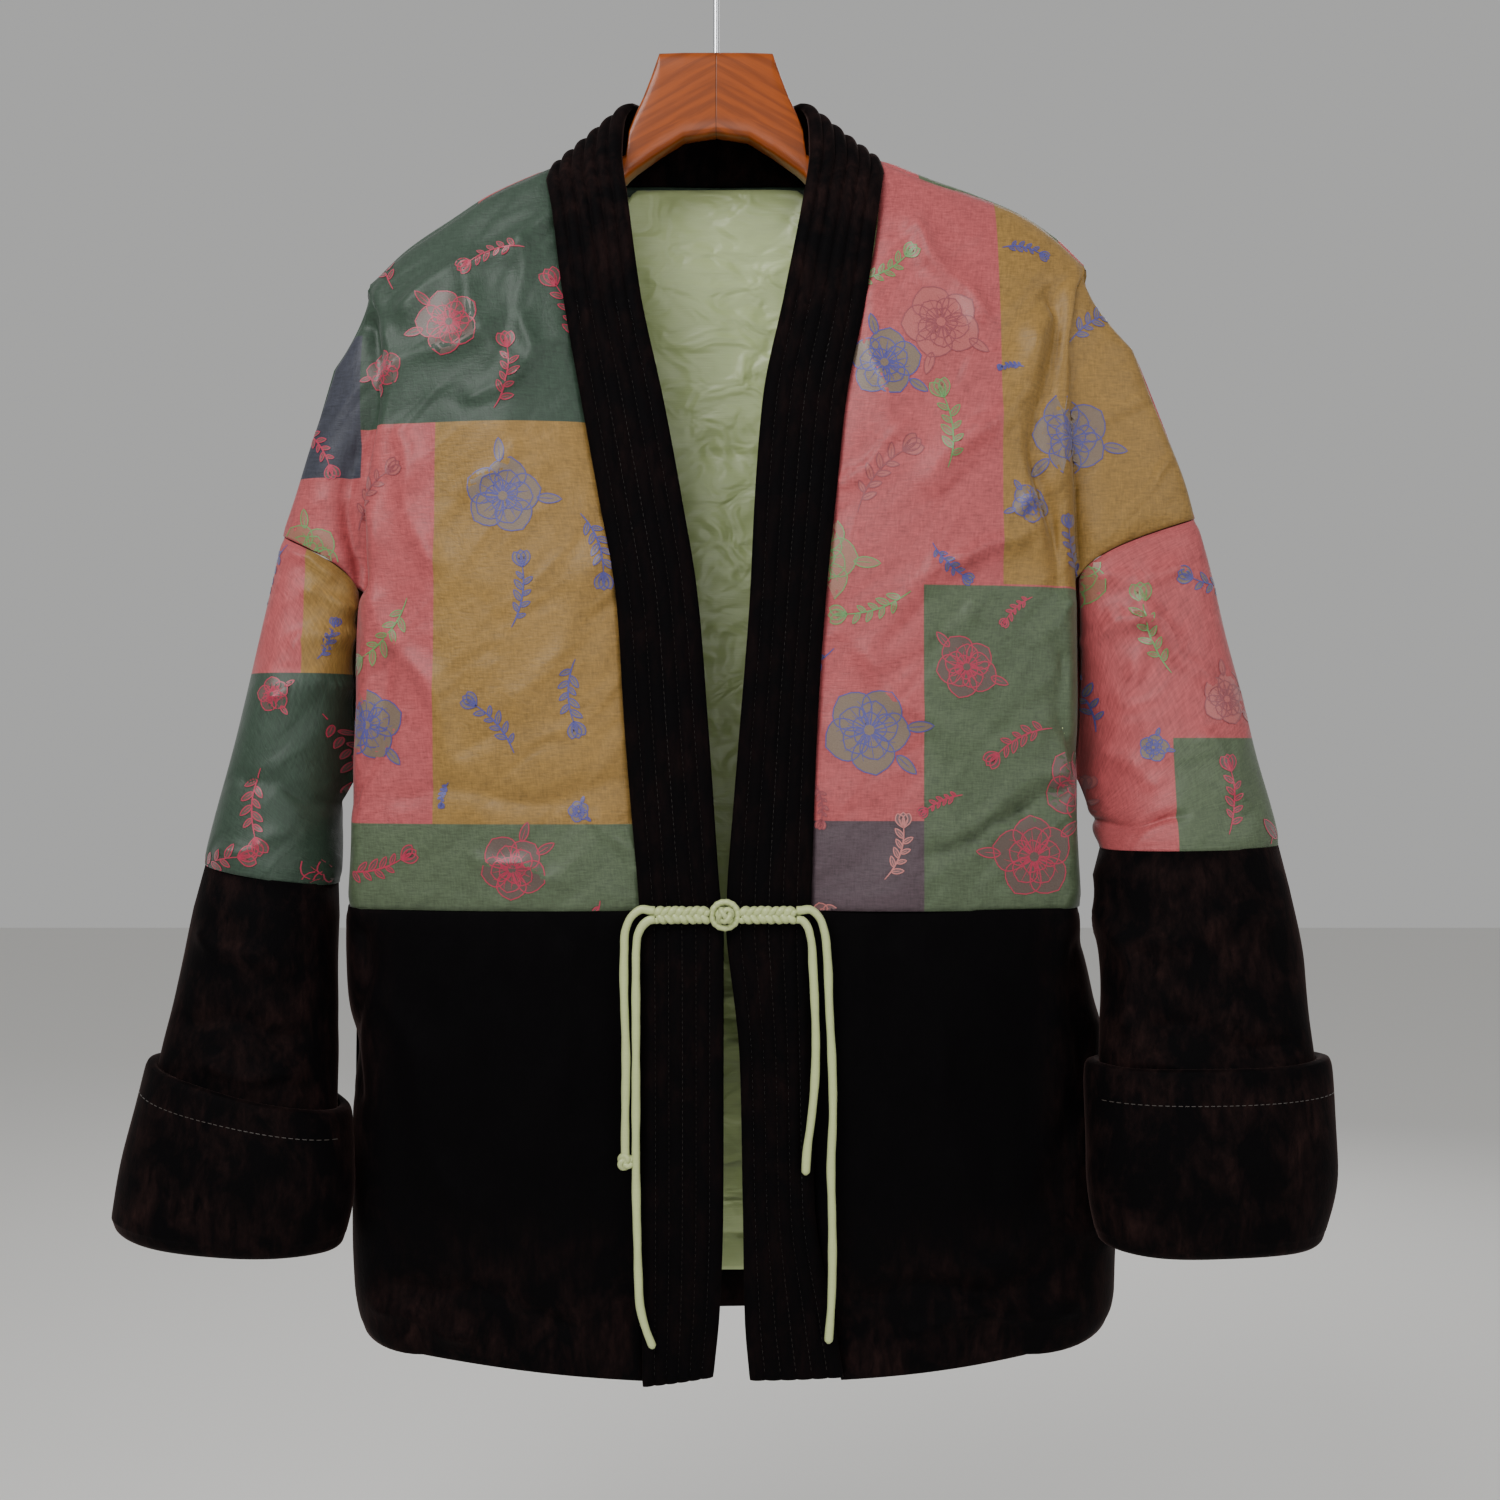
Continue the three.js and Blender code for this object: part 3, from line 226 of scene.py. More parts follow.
# %% Left side
LEFT = Side(
    "left", -1, (218, -231), (-392, -428, -545),
    flank=[(-545, 0), (-905, 2)],
    body=[  # height, then the edge at the band, the fold and the flank
        (-163, 106.5, 218, 228), (-200, 101, 218, 228), (-244, 94, 211, 228),
        (-285, 87, 207, 228), (-325, 80, 207, 228), (-376, 70, 210, 228),
        (-437, 59.5, 214, 228), (-517, 53.7, 220, 228), (-570, 49.5, 223.5, 229),
        (-624, 45, 224, 231.5), (-720, 44, 208, 230), (-828, 43.6, 198, 230),
        (-861, 43.5, 195, 229), (-910, 43.5, 186, 219),
    ],
    ridge=[(95, -153), (107, -158), (143, -175), (166, -190), (196, -210), (218, -231)],
    overarm=[
        (-231, 219), (-241, 227.5), (-255, 234), (-280, 242), (-332, 258), (-368, 268),
        (-392, 276),
    ],
    sleeve=[  # outer distance and height, inner distance and height, depth, half depth
        (277, -392, 238, -550, -1, 36), (285, -445, 240, -566, -3, 43),
        (301, -515, 239, -586, -6, 47), (320, -597, 237.5, -611, -12, 48),
        (334, -673, 236.5, -690, -24, 46), (340, -718, 233, -747, -36, 42),
        (351, -777, 230, -790, -44, 40), (357, -813, 235, -824, -46, 39),
    ],
    band=[  # inner and outer distance, depth, inner and outer height
        (0.5, 43, -64, -903, -909), (-3.4, 43, -64, -860, -860), (-5.3, 43.2, -63, -800, -800),
        (-5.5, 43.5, -62, -715, -715), (-5.6, 44.3, -62, -634, -634),
        (-3.2, 45.6, -62, -612, -612), (3.2, 53.3, -61, -521, -521), (9.9, 59, -59, -437, -437),
        (19.7, 69.6, -55, -376, -376), (31.5, 81.2, -50, -313, -313), (45, 92.8, -44, -251, -249),
    ],
)

# %% [markdown]
# ### The right side
# Its shoulder reaches further out and higher than the left one, and its sleeve starts wider.

# %% Right side
RIGHT = Side(
    "right", 1, (232, -218.5), (-381, -420, -545),
    flank=[(-545, 0), (-700, 12), (-905, 14)],
    body=[
        (-163, 105.5, 232, 228), (-200, 102.5, 232, 228), (-244, 94.5, 222, 228),
        (-285, 84.5, 217, 228), (-325, 78, 216, 228), (-376, 73.6, 216, 228),
        (-437, 67.3, 218, 228), (-517, 62, 221.5, 228), (-570, 60, 222, 229),
        (-624, 58.4, 222, 230.5), (-720, 59, 204, 246), (-802, 60.6, 203, 252),
        (-842, 64.8, 204, 254), (-869, 72, 205, 254), (-910, 78, 199, 243),
    ],
    ridge=[
        (95, -148), (107, -153.5), (138, -166), (162, -174), (191, -186), (215, -202),
        (232, -218.5),
    ],
    overarm=[
        (-218.5, 233), (-236, 244), (-255, 256), (-275, 266), (-301, 276.4), (-357, 298),
        (-381, 305),
    ],
    sleeve=[
        (306, -381, 236, -549, -1, 36), (320, -445, 237, -564, -5, 42),
        (335, -515, 238, -578, -13, 44), (350, -586, 238.5, -588, -24, 44),
        (361, -660, 238, -660, -39, 42), (362, -712, 233, -716, -58, 37),
        (363, -775, 232, -775, -67, 35), (356, -814, 237, -816, -67, 34),
    ],
    band=[
        (21.5, 77.5, -64, -905, -903), (18.5, 71.5, -64, -867, -867),
        (17.3, 60.2, -63, -800, -800), (15.5, 58.6, -62, -715, -715), (7.4, 58, -62, -636, -636),
        (7.9, 58.4, -62, -612, -612), (14.9, 61.5, -61, -521, -521), (21.5, 67, -59, -437, -437),
        (24.5, 73.2, -55, -376, -376), (29.5, 80, -50, -313, -313), (42, 92.6, -44, -251, -249),
    ],
)
SIDES = (LEFT, RIGHT)

# %% [markdown]
# ### Front and back
# The two halves differ in where they leave the shoulder, which way they swell and how far.

# %% Front and back
Half = namedtuple("Half", "start way edge fold crease_depth swell")
depth_z, *depth_columns = zip(*DEPTH_ROWS)
band_depth, fold_depth, back_depth, back_fold_depth = (
    along(depth_z, column) for column in depth_columns
)
FRONT = Half(RIDGE_SEAM, -1, band_depth, fold_depth, -20.0, 7.0)
BACK = Half(RIDGE_BACK, 1, back_depth, back_fold_depth, 24.0, 3.0)
print("from the shoulder to the waist", LEFT.tip[1] - WAIST, "and", RIGHT.tip[1] - WAIST, "mm")

# %% [markdown]
# ## The body's surfaces
# A cloth leaves the shoulder at its start and reaches its full depth over `HANG`:
# depth(h) = start + (full - start)(1 - exp(-h / HANG)).
# Beyond the fold's crest a cubic turns the cloth into the crease behind it.

# %% Body surfaces


def hung(start, full, h):
    """The depth of cloth that hangs h below its start."""
    return start + (full - start) * (1 - np.exp(-h / HANG))


def crease_at(side, half, z):
    """[distance, depth] of the crease behind the fold, or of the flank below the underarm."""
    reach = clamp((side.tip[1] - z) / (side.tip[1] - side.crease_z))
    away = clamp((side.crease_z - z) / (side.crease_z - side.underarm_z))
    deep = lerp(half.way * (half.fold(z) - 5), half.crease_depth, ease(reach))
    x = lerp(side.fold(z) + 9 * ease(reach), side.flank(z), away)
    y = lerp(deep, side.flank_depth(z), ease(away))
    below = z <= side.underarm_z + 0.01
    return (
        np.where(below, side.flank(z), x),
        np.where(below, side.flank_depth(z) + half.way * GAP, y),
    )


def fold_point(side, half, z, h, t):
    """Distance and depth on the cubic from the crest (t = 0) round the fold to the crease."""
    crest = side.crest(z)
    round_ = side.rounded(z)
    y = hung(half.start, half.way * half.fold(z), h)
    xc, deep = crease_at(side, half, z)
    yc = hung(half.start, deep, h)
    edge = lerp(side.fold(z) + 3, xc - 4, round_)
    reach = [lerp(edge, lerp(crest, xc, 0.62), round_), lerp(y, yc, 0.02)]
    turn = [
        lerp(edge + 1, xc + 0.5, np.maximum(round_, 0.2)),
        lerp(y, yc, lerp(0.6, 0.4, round_)),
    ]
    return bezier([crest, y], reach, turn, [xc, yc], t)


def face_point(side, half, u, z, h, inner, start):
    """Distance and depth at share u of the face: between its two edges' depths, plus a swell that
    is half a sine wave across."""
    swell = half.swell * np.sin(math.pi * u) * clamp(h / SWELL_OVER)
    full = half.way * (lerp(half.edge(z), half.fold(z), u * u) + swell)
    return lerp(inner, side.crest(z), u), hung(start, full, h)


def row_stops(side, top):
    """Shares of the way down at which the armhole enters the crease and ends under the arm."""
    end = WAIST + GAP / 2
    return (side.crease_z - top) / (end - top), (side.underarm_z - top) / (end - top)


def mesh_of(c, r):
    """Two arrays that pair every row value r with every column value c."""
    return np.broadcast_arrays(np.asarray(c)[None, :], np.asarray(r)[:, None])


def cap_row(start, end, half, out, k):
    """From the crease to the overarm: [x, y, z] at shares k."""
    deep = half.way * out
    full = clamp(np.hypot(end[0] - start[0], end[2] - start[2]) / CAP_FULL)
    near = [start[0] + 3 * full, lerp(start[1], deep, 0.9 * full)]
    far = [end[0] - full, lerp(end[1], deep, 0.8 * full)]
    x, y = bezier(start[:2], near, far, end[:2], k)
    return [x, y, end[2] + (start[2] - end[2]) * (1 - k) ** 1.6]

# %% [markdown]
# ### The fronts
# A panel is a net of columns across and rows down. Its first columns cover the face and its last
# ones turn round the fold. The cap closes the corner between the fold and the overarm.

# %% Fronts


def front_silk(side, c, w):
    """Columns c: 0 to 1 over the face, 1 to 2 round the fold. Rows w: shares of the way down."""
    first = side.edge(NECK_TOP) - UNDERLAP
    crest = side.tip[0] - CREST
    c, w = mesh_of(c, w)
    u = clamp(c)
    t = clamp(c - 1)
    x0 = np.where(c <= 1, lerp(first, crest, u), lerp(crest, side.tip[0], t))
    top = side.top(RIDGE_SEAM, x0)
    z = lerp(top, WAIST + GAP / 2, w)
    h = top - z
    xf, yf = face_point(side, FRONT, u, z, h, side.edge(z) - UNDERLAP, RIDGE_SEAM)
    xt, yt = fold_point(side, FRONT, z, h, t)
    x = np.where(c <= 1, xf, xt)
    y = np.where(c <= 1, yf, yt)
    return np.stack([lerp(x0, x, ease(clamp(h / TIP_OVER))), y, z], -1)


def front_cap(side, k, t):
    """Columns k from the crease to the overarm. Rows t from the hanger's end to the armhole."""
    top = side.top(RIDGE_SEAM)
    stop, _ = row_stops(side, top)
    edge = front_silk(side, [2.0], stop * np.asarray(t))[:, 0]
    k, t = mesh_of(k, t)
    tip = [side.tip[0], RIDGE_SEAM, top]
    start = [edge[:, i][:, None] for i in range(3)]
    zo = lerp(top, side.overarm_z, t)
    xo = lerp(tip[0], side.overarm(zo) - 3, np.minimum(1, 3 * t))
    grid = cap_row(start, [xo, RIDGE_SEAM, zo], FRONT, lerp(20, CAP_DEPTH, t**0.7), k)
    grid = np.stack(np.broadcast_arrays(*grid), -1)
    return np.where(t[..., None] == 0, tip, grid)

# %% [markdown]
# ### The back
# Its columns start along the neck behind the shoulders, so the first rows follow that curve.

# %% The back
BEHIND = NECK_ROWS[:4:-1]  # the neck's rows behind the shoulder, from the middle outwards
BACK_COLUMNS = NECK_COLUMNS + CHEST_STEPS


def back_starts(side):
    """Where the back's columns start, as curves of the column: distance, depth and height."""
    out = [EDGE_GAP * row[1] / BEHIND[-1][1] for row in BEHIND]
    first = side.edge(NECK_TOP) + EDGE_GAP
    crest = side.tip[0] - CREST
    outer = [lerp(first, crest, j / CHEST_STEPS) for j in range(CHEST_STEPS + 1)]
    x = [0.0] + [row[1] + o for row, o in zip(BEHIND[1:], out[1:])] + outer
    y = [row[3] + o for row, o in zip(BEHIND, out)] + [RIDGE_BACK] * len(outer)
    z = [row[5] - EDGE_GAP for row in BEHIND]
    z += [float(side.top(RIDGE_BACK, v)) for v in outer]
    j = range(len(x))
    return along(j, x), along(j, y), along(j, z)


def back_silk(side, c, w):
    """Columns c: 0 to 1 from the middle to the fold's crest, 1 to 2 round the fold."""
    c, w = mesh_of(c, w)
    u = clamp(c)
    t = clamp(c - 1)
    x_of, y_of, z_of = back_starts(side)
    column = u * BACK_COLUMNS
    crest = side.tip[0] - CREST
    x0 = np.where(c <= 1, x_of(column), lerp(crest, side.tip[0], t))
    start = np.where(c <= 1, y_of(column), RIDGE_BACK)
    turned = side.top(RIDGE_BACK, x0)
    top = np.where(c <= 1, z_of(column), turned)
    z = lerp(top, WAIST + GAP / 2, w)
    h = top - z
    xf, yf = face_point(side, BACK, u, z, h, 0.0, start)
    xt, yt = fold_point(side, BACK, z, h, t)
    settling = np.where(c <= 1, h / SWELL_OVER, h / TIP_OVER)
    x = lerp(x0, np.where(c <= 1, xf, xt), ease(clamp(settling)))
    return np.stack([x, np.where(c <= 1, yf, yt), z], -1)

# %% [markdown]
# ### Over the shoulder
# The back laps over the ridge to meet the front at the shoulder seam, and its own cap goes down
# to the crease behind the arm.

# %% Over the shoulder


def back_over(side, c, s):
    """The back's strip over the shoulder's ridge: rows s from the shoulder seam to the back."""
    first = side.edge(NECK_TOP) + EDGE_GAP
    crest = side.tip[0] - CREST
    c, s = mesh_of(c, s)
    x = np.where(c <= 1, lerp(first, crest, clamp(c)), lerp(crest, side.tip[0], clamp(c - 1)))
    y = lerp(RIDGE_SEAM + EDGE_GAP / 2, RIDGE_BACK, s)
    return np.stack([x, y, side.top(y, x)], -1)


def back_cap(side, k, t):
    """Columns k: -1 to 0 from the overarm seam over the ridge, 0 to 1 down to the crease."""
    tip_z = side.top(RIDGE_BACK)
    seam_z = side.top(RIDGE_SEAM + EDGE_GAP / 2)
    stop, _ = row_stops(side, tip_z)
    edge = back_silk(side, [2.0], stop * np.asarray(t))[:, 0]
    k, t = mesh_of(k, t)
    start = [edge[:, i][:, None] for i in range(3)]
    zo = lerp(tip_z, side.overarm_z, t)
    xo = lerp(side.tip[0], side.overarm(zo), np.minimum(1, 3 * t))
    out = lerp(20, CAP_DEPTH, t**0.7)
    row = cap_row(start, [xo, RIDGE_BACK, zo], BACK, out, 1 - clamp(k))
    row = np.stack(np.broadcast_arrays(*row), -1)
    row = np.where(t[..., None] == 0, [side.tip[0], RIDGE_BACK, tip_z], row)
    down = lerp(seam_z, side.overarm_z, t)
    seam_x = lerp(side.tip[0], side.overarm(down) - 2.5, np.minimum(1, 3 * t))
    over = clamp(k + 1)
    y = lerp(RIDGE_SEAM + EDGE_GAP / 2, RIDGE_BACK, over)
    strip = np.stack([lerp(seam_x, xo, ease(over)), y, lerp(down, zo, over)], -1)
    return np.where(k[..., None] < 0, strip, row)

# %% [markdown]
# ### Below the waist
# The velvet goes on from the same columns down to an uneven hem.

# %% Below the waist


def hem_height(half, c):
    """The front's hem rises outwards, the back's is level, and both rise a little in the fold."""
    front = along([0, 0.5, 1], [-907, -900, -894])
    face = front(clamp(c)) if half is FRONT else -898.0
    return lerp(face, -886.0, ease(clamp(c - 1)))


def skirt(side, half, c, w, inner, low=None):
    """The body below the waist, to its hem or to the height low."""
    c, w = mesh_of(c, w)
    end = hem_height(half, c) if low is None else low
    z = lerp(WAIST - GAP / 2, end, w)
    xf, yf = face_point(side, half, clamp(c), z, SETTLED, inner(z), half.start)
    xt, yt = fold_point(side, half, z, SETTLED, clamp(c - 1))
    return np.stack([np.where(c <= 1, xf, xt), np.where(c <= 1, yf, yt), z], -1)

# %% [markdown]
# ## Sleeves and band
# A sleeve's ring at station q is an oval in the table's tilted plane. Near the armhole it is
# drawn towards the armhole's own seam, point by point at the same angle.

# %% Sleeves and band
SEAM_ANGLE = 0.33
CREASE_ANGLE = 1.9
OVAL = 0.9
SEWN_TO = 1.7


def armhole_loop(side, a):
    """The armhole seam's point at each angle a: 0 at the overarm, pi at the underarm."""
    fs, fu = row_stops(side, side.top(RIDGE_SEAM))
    bs, bu = row_stops(side, side.top(RIDGE_BACK))
    k = clamp((a - SEAM_ANGLE) / (CREASE_ANGLE - SEAM_ANGLE))
    past = (a - CREASE_ANGLE) / (math.pi - CREASE_ANGLE)
    up = (a - math.pi) / (math.pi - CREASE_ANGLE)
    far = (a - TURN + CREASE_ANGLE) / (CREASE_ANGLE + 0.08)
    points = np.zeros((len(a), 3))
    part = a < CREASE_ANGLE
    points[part] = front_cap(side, 1 - k[part], [1.0])[0]
    part = (a >= CREASE_ANGLE) & (a <= math.pi)
    points[part] = front_silk(side, [2.0], lerp(fs, fu, past[part]))[:, 0]
    part = (a > math.pi) & (a <= TURN - CREASE_ANGLE)
    points[part] = back_silk(side, [2.0], lerp(bu, bs, up[part]))[:, 0]
    part = a > TURN - CREASE_ANGLE
    points[part] = back_cap(side, 1 - far[part] * 7 / 6, [1.0])[0]
    return points


def sleeve_ring(side, loop, angle, q, out=0.0, drop=0.0):
    """The sleeve's ring at station q, moved outwards by out and down by drop."""
    xo, zo, xi, zi, y, half = (curve(q) for curve in side.sleeve)
    middle = np.array([(xo + xi) / 2, y, (zo + zi) / 2])
    axis = np.array([(xo - xi) / 2, 0.0, (zo - zi) / 2])
    grown = 1 + out / np.hypot(axis[0], axis[2])
    cos = np.cos(angle)
    across = np.sign(cos) * np.abs(cos) ** OVAL
    ring = middle + axis * grown * across[:, None]
    ring[:, 1] -= (half + out) * np.sin(angle)
    ring[:, 2] -= drop
    return ring if q >= SEWN_TO else lerp(loop, ring, ease(q / SEWN_TO))


def band_net(side, u, q):
    """Columns u across the band from its inner edge. Rows q are stations of its table."""
    rows = [(xi, xo, y, y, zi, zo) for xi, xo, y, zi, zo in side.band_rows]
    for xi, xo, yi, yo, zi, zo in NECK_ROWS:
        if xo is None:
            xo = float(side.edge(NECK_TOP))
            zo = float(side.top(yo, xo))
        rows.append((xi, xo, yi, yo, zi, zo))
    n = range(len(rows))
    xi, xo, yi, yo, zi, zo = (along(n, column) for column in zip(*rows))
    start = len(side.band_rows) - 1
    u, q = mesh_of(u, q)
    proud = 3.0 * (1 - ease(clamp((q - start) / 2)))
    crown = np.where(q < start + 1, 1.5 * np.sin(math.pi * u) * clamp(start + 1 - q), 0.0)
    y = lerp(yi(q), yo(q), u) - proud - crown
    return np.stack([lerp(xi(q), xo(q), u), y, lerp(zi(q), zo(q), u)], -1)

# %% [markdown]
# ## From nets to walls
# Nets that meet are joined point by point into one sheet. The outer face is moved along its
# normals by a relief, and drawn in along every edge, as padding is at a seam. The inner face lies
# the cloth's thickness below it, and is pressed thin where many seams meet.

# %% Walls
PRESSED = 0.2
TURNING = 6.0
SEAM_DIP = 1.3
SEAM_WIDTH = 4.5
SEAM_GROWTH = 0.4
CREASE_X, CREASE_Z, CREASE_TOP = 185.0, -500.0, -262.0
CREASE_MARGIN = 25.0
SKIN = 0.3
LAYER_SHARE = 0.4
LAYER_REACH = 12
INNER_PLAY = 0.35
LEAST_WALL = 0.5
THIN_ENOUGH = 0.6
PINCHES = [
    (np.array([side.sign * x, y, z]), reach)
    for side in SIDES
    for x, y, z, reach in (
        (228, 0, side.underarm_z, 45),
        (side.tip[0], RIDGE_SEAM, side.tip[1] - 4, 14),
    )
]

# %% [markdown]
# ### Sheets
# Nets that share a border become one mesh, because points that agree to a hundredth of a
# millimetre are one point. A sheet knows its normals and how far each point is from an edge.

# %% Sheets


def net(side, grid, uv=None, turned=False):
    """A grid at its side's place, with its faces' sense and its cloth coordinates."""
    grid = grid * np.array([side.sign, 1, 1])
    if uv is None:
        step = np.linalg.norm(np.diff(grid, axis=1), axis=2)
        across = np.concatenate((np.zeros((len(grid), 1)), np.cumsum(step, axis=1)), 1)
        uv = np.stack([across, grid[..., 2]], -1)
    return grid, uv, (side.sign < 0) != turned


class Sheet:
    """Joined nets: points, normals, faces as lists of point numbers, and cloth coordinates."""

    def __init__(self, *nets):
        flat = np.concatenate([grid.reshape(-1, 3) for grid, _, _ in nets])
        _, first, index = np.unique(
            np.round(flat, 2) + 0.0, axis=0, return_index=True, return_inverse=True
        )
        index = index.ravel()
        self.points = flat[first]
        quads, corner_uv = [], []
        offset = 0
        for grid, uv, turned in nets:
            rows, cols = grid.shape[:2]
            a = (np.arange(rows - 1)[:, None] * cols + np.arange(cols - 1)[None, :]).ravel()
            quad = np.stack([a, a + cols, a + cols + 1, a + 1], 1)[:, :: -1 if turned else 1]
            quads.append(index[quad + offset])
            corner_uv.append(uv.reshape(-1, 2)[quad])
            offset += rows * cols
        quads, corner_uv = np.concatenate(quads), np.concatenate(corner_uv)
        whole = [len(set(q)) > 2 for q in quads.tolist()]
        self.quads = quads[whole]
        self.corner_uv = corner_uv[whole]
        self.normals = self.find_normals()
        pairs = {
            (a, b): True for q in self.quads.tolist() for a, b in zip(q, q[1:] + q[:1]) if a != b
        }
        self.border = [(a, b) for a, b in pairs if (b, a) not in pairs]
        self.edge = sorted({a for pair in self.border for a in pair})
        self.away = self.edge_distance()

    def find_normals(self):
        p = self.points[self.quads]
        face = np.cross(p[:, 2] - p[:, 0], p[:, 3] - p[:, 1])
        total = np.zeros_like(self.points)
        for k in range(4):
            np.add.at(total, self.quads[:, k], face)
        return total / np.maximum(np.linalg.norm(total, axis=1), 1e-9)[:, None]

    def grown(self):
        """In-plane moves that push the edges out by SEAM_GROWTH, so that seams close."""
        centre = self.points[self.quads].mean(1)
        move = np.zeros_like(self.points)
        for k in range(4):
            np.add.at(move, self.quads[:, k], self.points[self.quads[:, k]] - centre)
        length = np.linalg.norm(move, axis=1)
        edge = np.zeros(len(self.points), bool)
        edge[self.edge] = True
        scale = np.where(edge & (length > 1e-6), SEAM_GROWTH / np.maximum(length, 1e-6), 0.0)
        return move * scale[:, None]

    def edge_distance(self):
        """How far each point lies from the nearest open edge."""
        edge = self.points[self.edge]
        if not len(edge):
            return np.full(len(self.points), 1e3)
        out = np.empty(len(self.points))
        for i in range(0, len(out), 2000):
            part = self.points[i : i + 2000, None, :] - edge[None, :, :]
            out[i : i + 2000] = np.sqrt((part**2).sum(2).min(1))
        return out

# %% [markdown]
# ### Making meshes
# Cloth is pressed thin where many seams meet. A mesh is written in metres, linked and tied to the
# part's one body.

# %% Making meshes


def thinning(points):
    """1 on open cloth, falling to PRESSED at each pinch."""
    thin = np.ones(len(points))
    for at, reach in PINCHES:
        away = clamp(np.linalg.norm(points - at, axis=1) / reach)
        thin = np.minimum(thin, lerp(PRESSED, 1.0, away))
    return thin


def piece(name):
    return bpy.data.objects[name]


def finish_mesh(name, points, faces, uvs, materials, face_materials=None):
    """A smooth mesh object that rides on the part's one body."""
    mesh = bpy.data.meshes.new(name)
    mesh.from_pydata((np.asarray(points) / 1000).tolist(), [], faces)
    for material in materials:
        mesh.materials.append(material)
    if face_materials is not None:
        mesh.polygons.foreach_set("material_index", face_materials)
    if uvs is not None:
        layer = mesh.uv_layers.new(name="cloth")
        layer.data.foreach_set("uv", np.asarray(uvs, np.float32).ravel())
    mesh.polygons.foreach_set("use_smooth", [True] * len(mesh.polygons))
    mesh.update()
    obj = bpy.data.objects.new(name, mesh)
    scene.collection.objects.link(obj)
    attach(obj, "root")
    return obj

# %% [markdown]
# ### A wall
# Where cloth doubles back on itself its two layers would meet, so each takes less than half of the
# space. The wall then gets its outer face, its inner face and the strips that close its edges.

# %% A wall


def narrowed(sheet, base, depth):
    """Less depth where cloth folds back on itself: two fifths of the way to the next layer."""
    faces = [[q[k] for k in range(4) if q[k] != q[k - 1]] for q in sheet.quads.tolist()]
    tree = BVHTree.FromPolygons(base.tolist(), faces)
    low = (base[:, 2] > CREASE_Z) & (base[:, 2] < CREASE_TOP)
    for i in np.flatnonzero(low & (abs(base[:, 0]) > CREASE_X - CREASE_MARGIN)):
        inward = Vector(-sheet.normals[i])
        at, _, _, distance = tree.ray_cast(Vector(base[i]) + inward * SKIN, inward, LAYER_REACH)
        if at is not None:
            depth[i] = min(depth[i], SKIN + LAYER_SHARE * distance)
    return depth


def wall(name, sheet, thickness, materials, relief=None, dip=SEAM_DIP, node=None):
    """The sheet's wall as a piece that replaces its CAD solid. materials: outer, then inner."""
    thin = thinning(sheet.points)
    lift = np.zeros(len(sheet.points)) if relief is None else relief(sheet)
    lift = lift - dip * np.exp(-((sheet.away / SEAM_WIDTH) ** 2))
    base = sheet.points + sheet.grown()
    outer = base + sheet.normals * (lift * thin)[:, None]
    depth = np.maximum(thickness * thin - INNER_PLAY, LEAST_WALL - lift * thin)
    inner = base - sheet.normals * narrowed(sheet, base, depth)[:, None]
    n = len(outer)
    faces, uvs, slots = [], [], []
    for q, uv in zip(sheet.quads.tolist(), sheet.corner_uv.tolist()):
        keep = [k for k in range(4) if q[k] != q[k - 1]]
        faces.append([q[k] for k in keep])
        uvs += [uv[k] for k in keep]
        slots.append(0)
        faces.append([q[k] + n for k in reversed(keep)])
        uvs += [uv[k] for k in reversed(keep)]
        middle = sheet.points[q].mean(0)
        creased = abs(middle[0]) > CREASE_X and middle[2] > CREASE_Z
        hidden = creased or sheet.away[q].min() < TURNING or thin[q].min() < THIN_ENOUGH
        slots.append(0 if hidden else len(materials) - 1)
    for a, b in sheet.border:
        faces.append([b, a, a + n, b + n])
        uvs += [[0, 0]] * 4
        slots.append(0)
    uvs = np.array(uvs) / 1000
    obj = finish_mesh(name, np.concatenate((outer, inner)), faces, uvs, materials, slots)
    if node:
        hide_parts(node)
    p = outer[sheet.quads]
    area = np.linalg.norm(np.cross(p[:, 2] - p[:, 0], p[:, 3] - p[:, 1]), axis=1).sum() / 2e6
    print(f"AREA {name} {area:.4f}")
    return obj

# %% [markdown]
# ### Creases and padding
# A crease is a bent ridge along a short line. Padding is three crossing waves.

# %% Creases and padding
SHARPNESS = 0.72
BEND = 0.09
UNEVEN = 0.25


def folds(points, table):
    """Listed creases: each row runs from (x, z) to (x, z) with a width and a height."""
    total = np.zeros(len(points))
    p = points[:, [0, 2]]
    for x0, z0, x1, z1, width, height in table:
        a = np.array([x0, z0], float)
        d = np.array([x1, z1], float) - a
        t = clamp((p - a) @ d / (d @ d))[:, None]
        bend = BEND * np.sin(np.pi * t) * np.sin(4.3 * t + 0.1 * x0 + 0.2 * z0)
        middle = a + t * d + bend * np.array([-d[1], d[0]])
        off = np.linalg.norm(p - middle, axis=1)
        uneven = 1 + UNEVEN * np.sin(9 * t[:, 0] + z0)
        total += height * uneven * np.exp(-((off / (SHARPNESS * width)) ** 1.35))
    return total


def waves(points, height, pitch):
    """A soft unevenness of quilted padding: three crossing waves of that pitch."""
    x, y, z = points.T / pitch
    return height / 3 * (
        np.sin(x + 0.7 * z + 1.3 * y) + np.sin(1.31 * z - 0.8 * x + 2.1 * y + 1.0)
        + np.sin(0.53 * x + 0.47 * z - y + 2.4)
    )

# %% [markdown]
# ## Shader maths
# A finish is a formula of the place on the cloth. A small class wraps a node's output and
# overloads the operators, so a formula is written as sums and products of noises. One function
# makes every node, so a finish reads as its formula and not as a list of nodes and links.

# %% Shader maths


def feed(socket, value):
    """Links a shader value to a socket, or sets the socket to a number or a colour."""
    if isinstance(value, Val):
        value.tree.links.new(value.socket, socket)
    elif isinstance(value, tuple) and len(value) == 3:
        socket.default_value = (*value, 1.0)
    else:
        socket.default_value = value


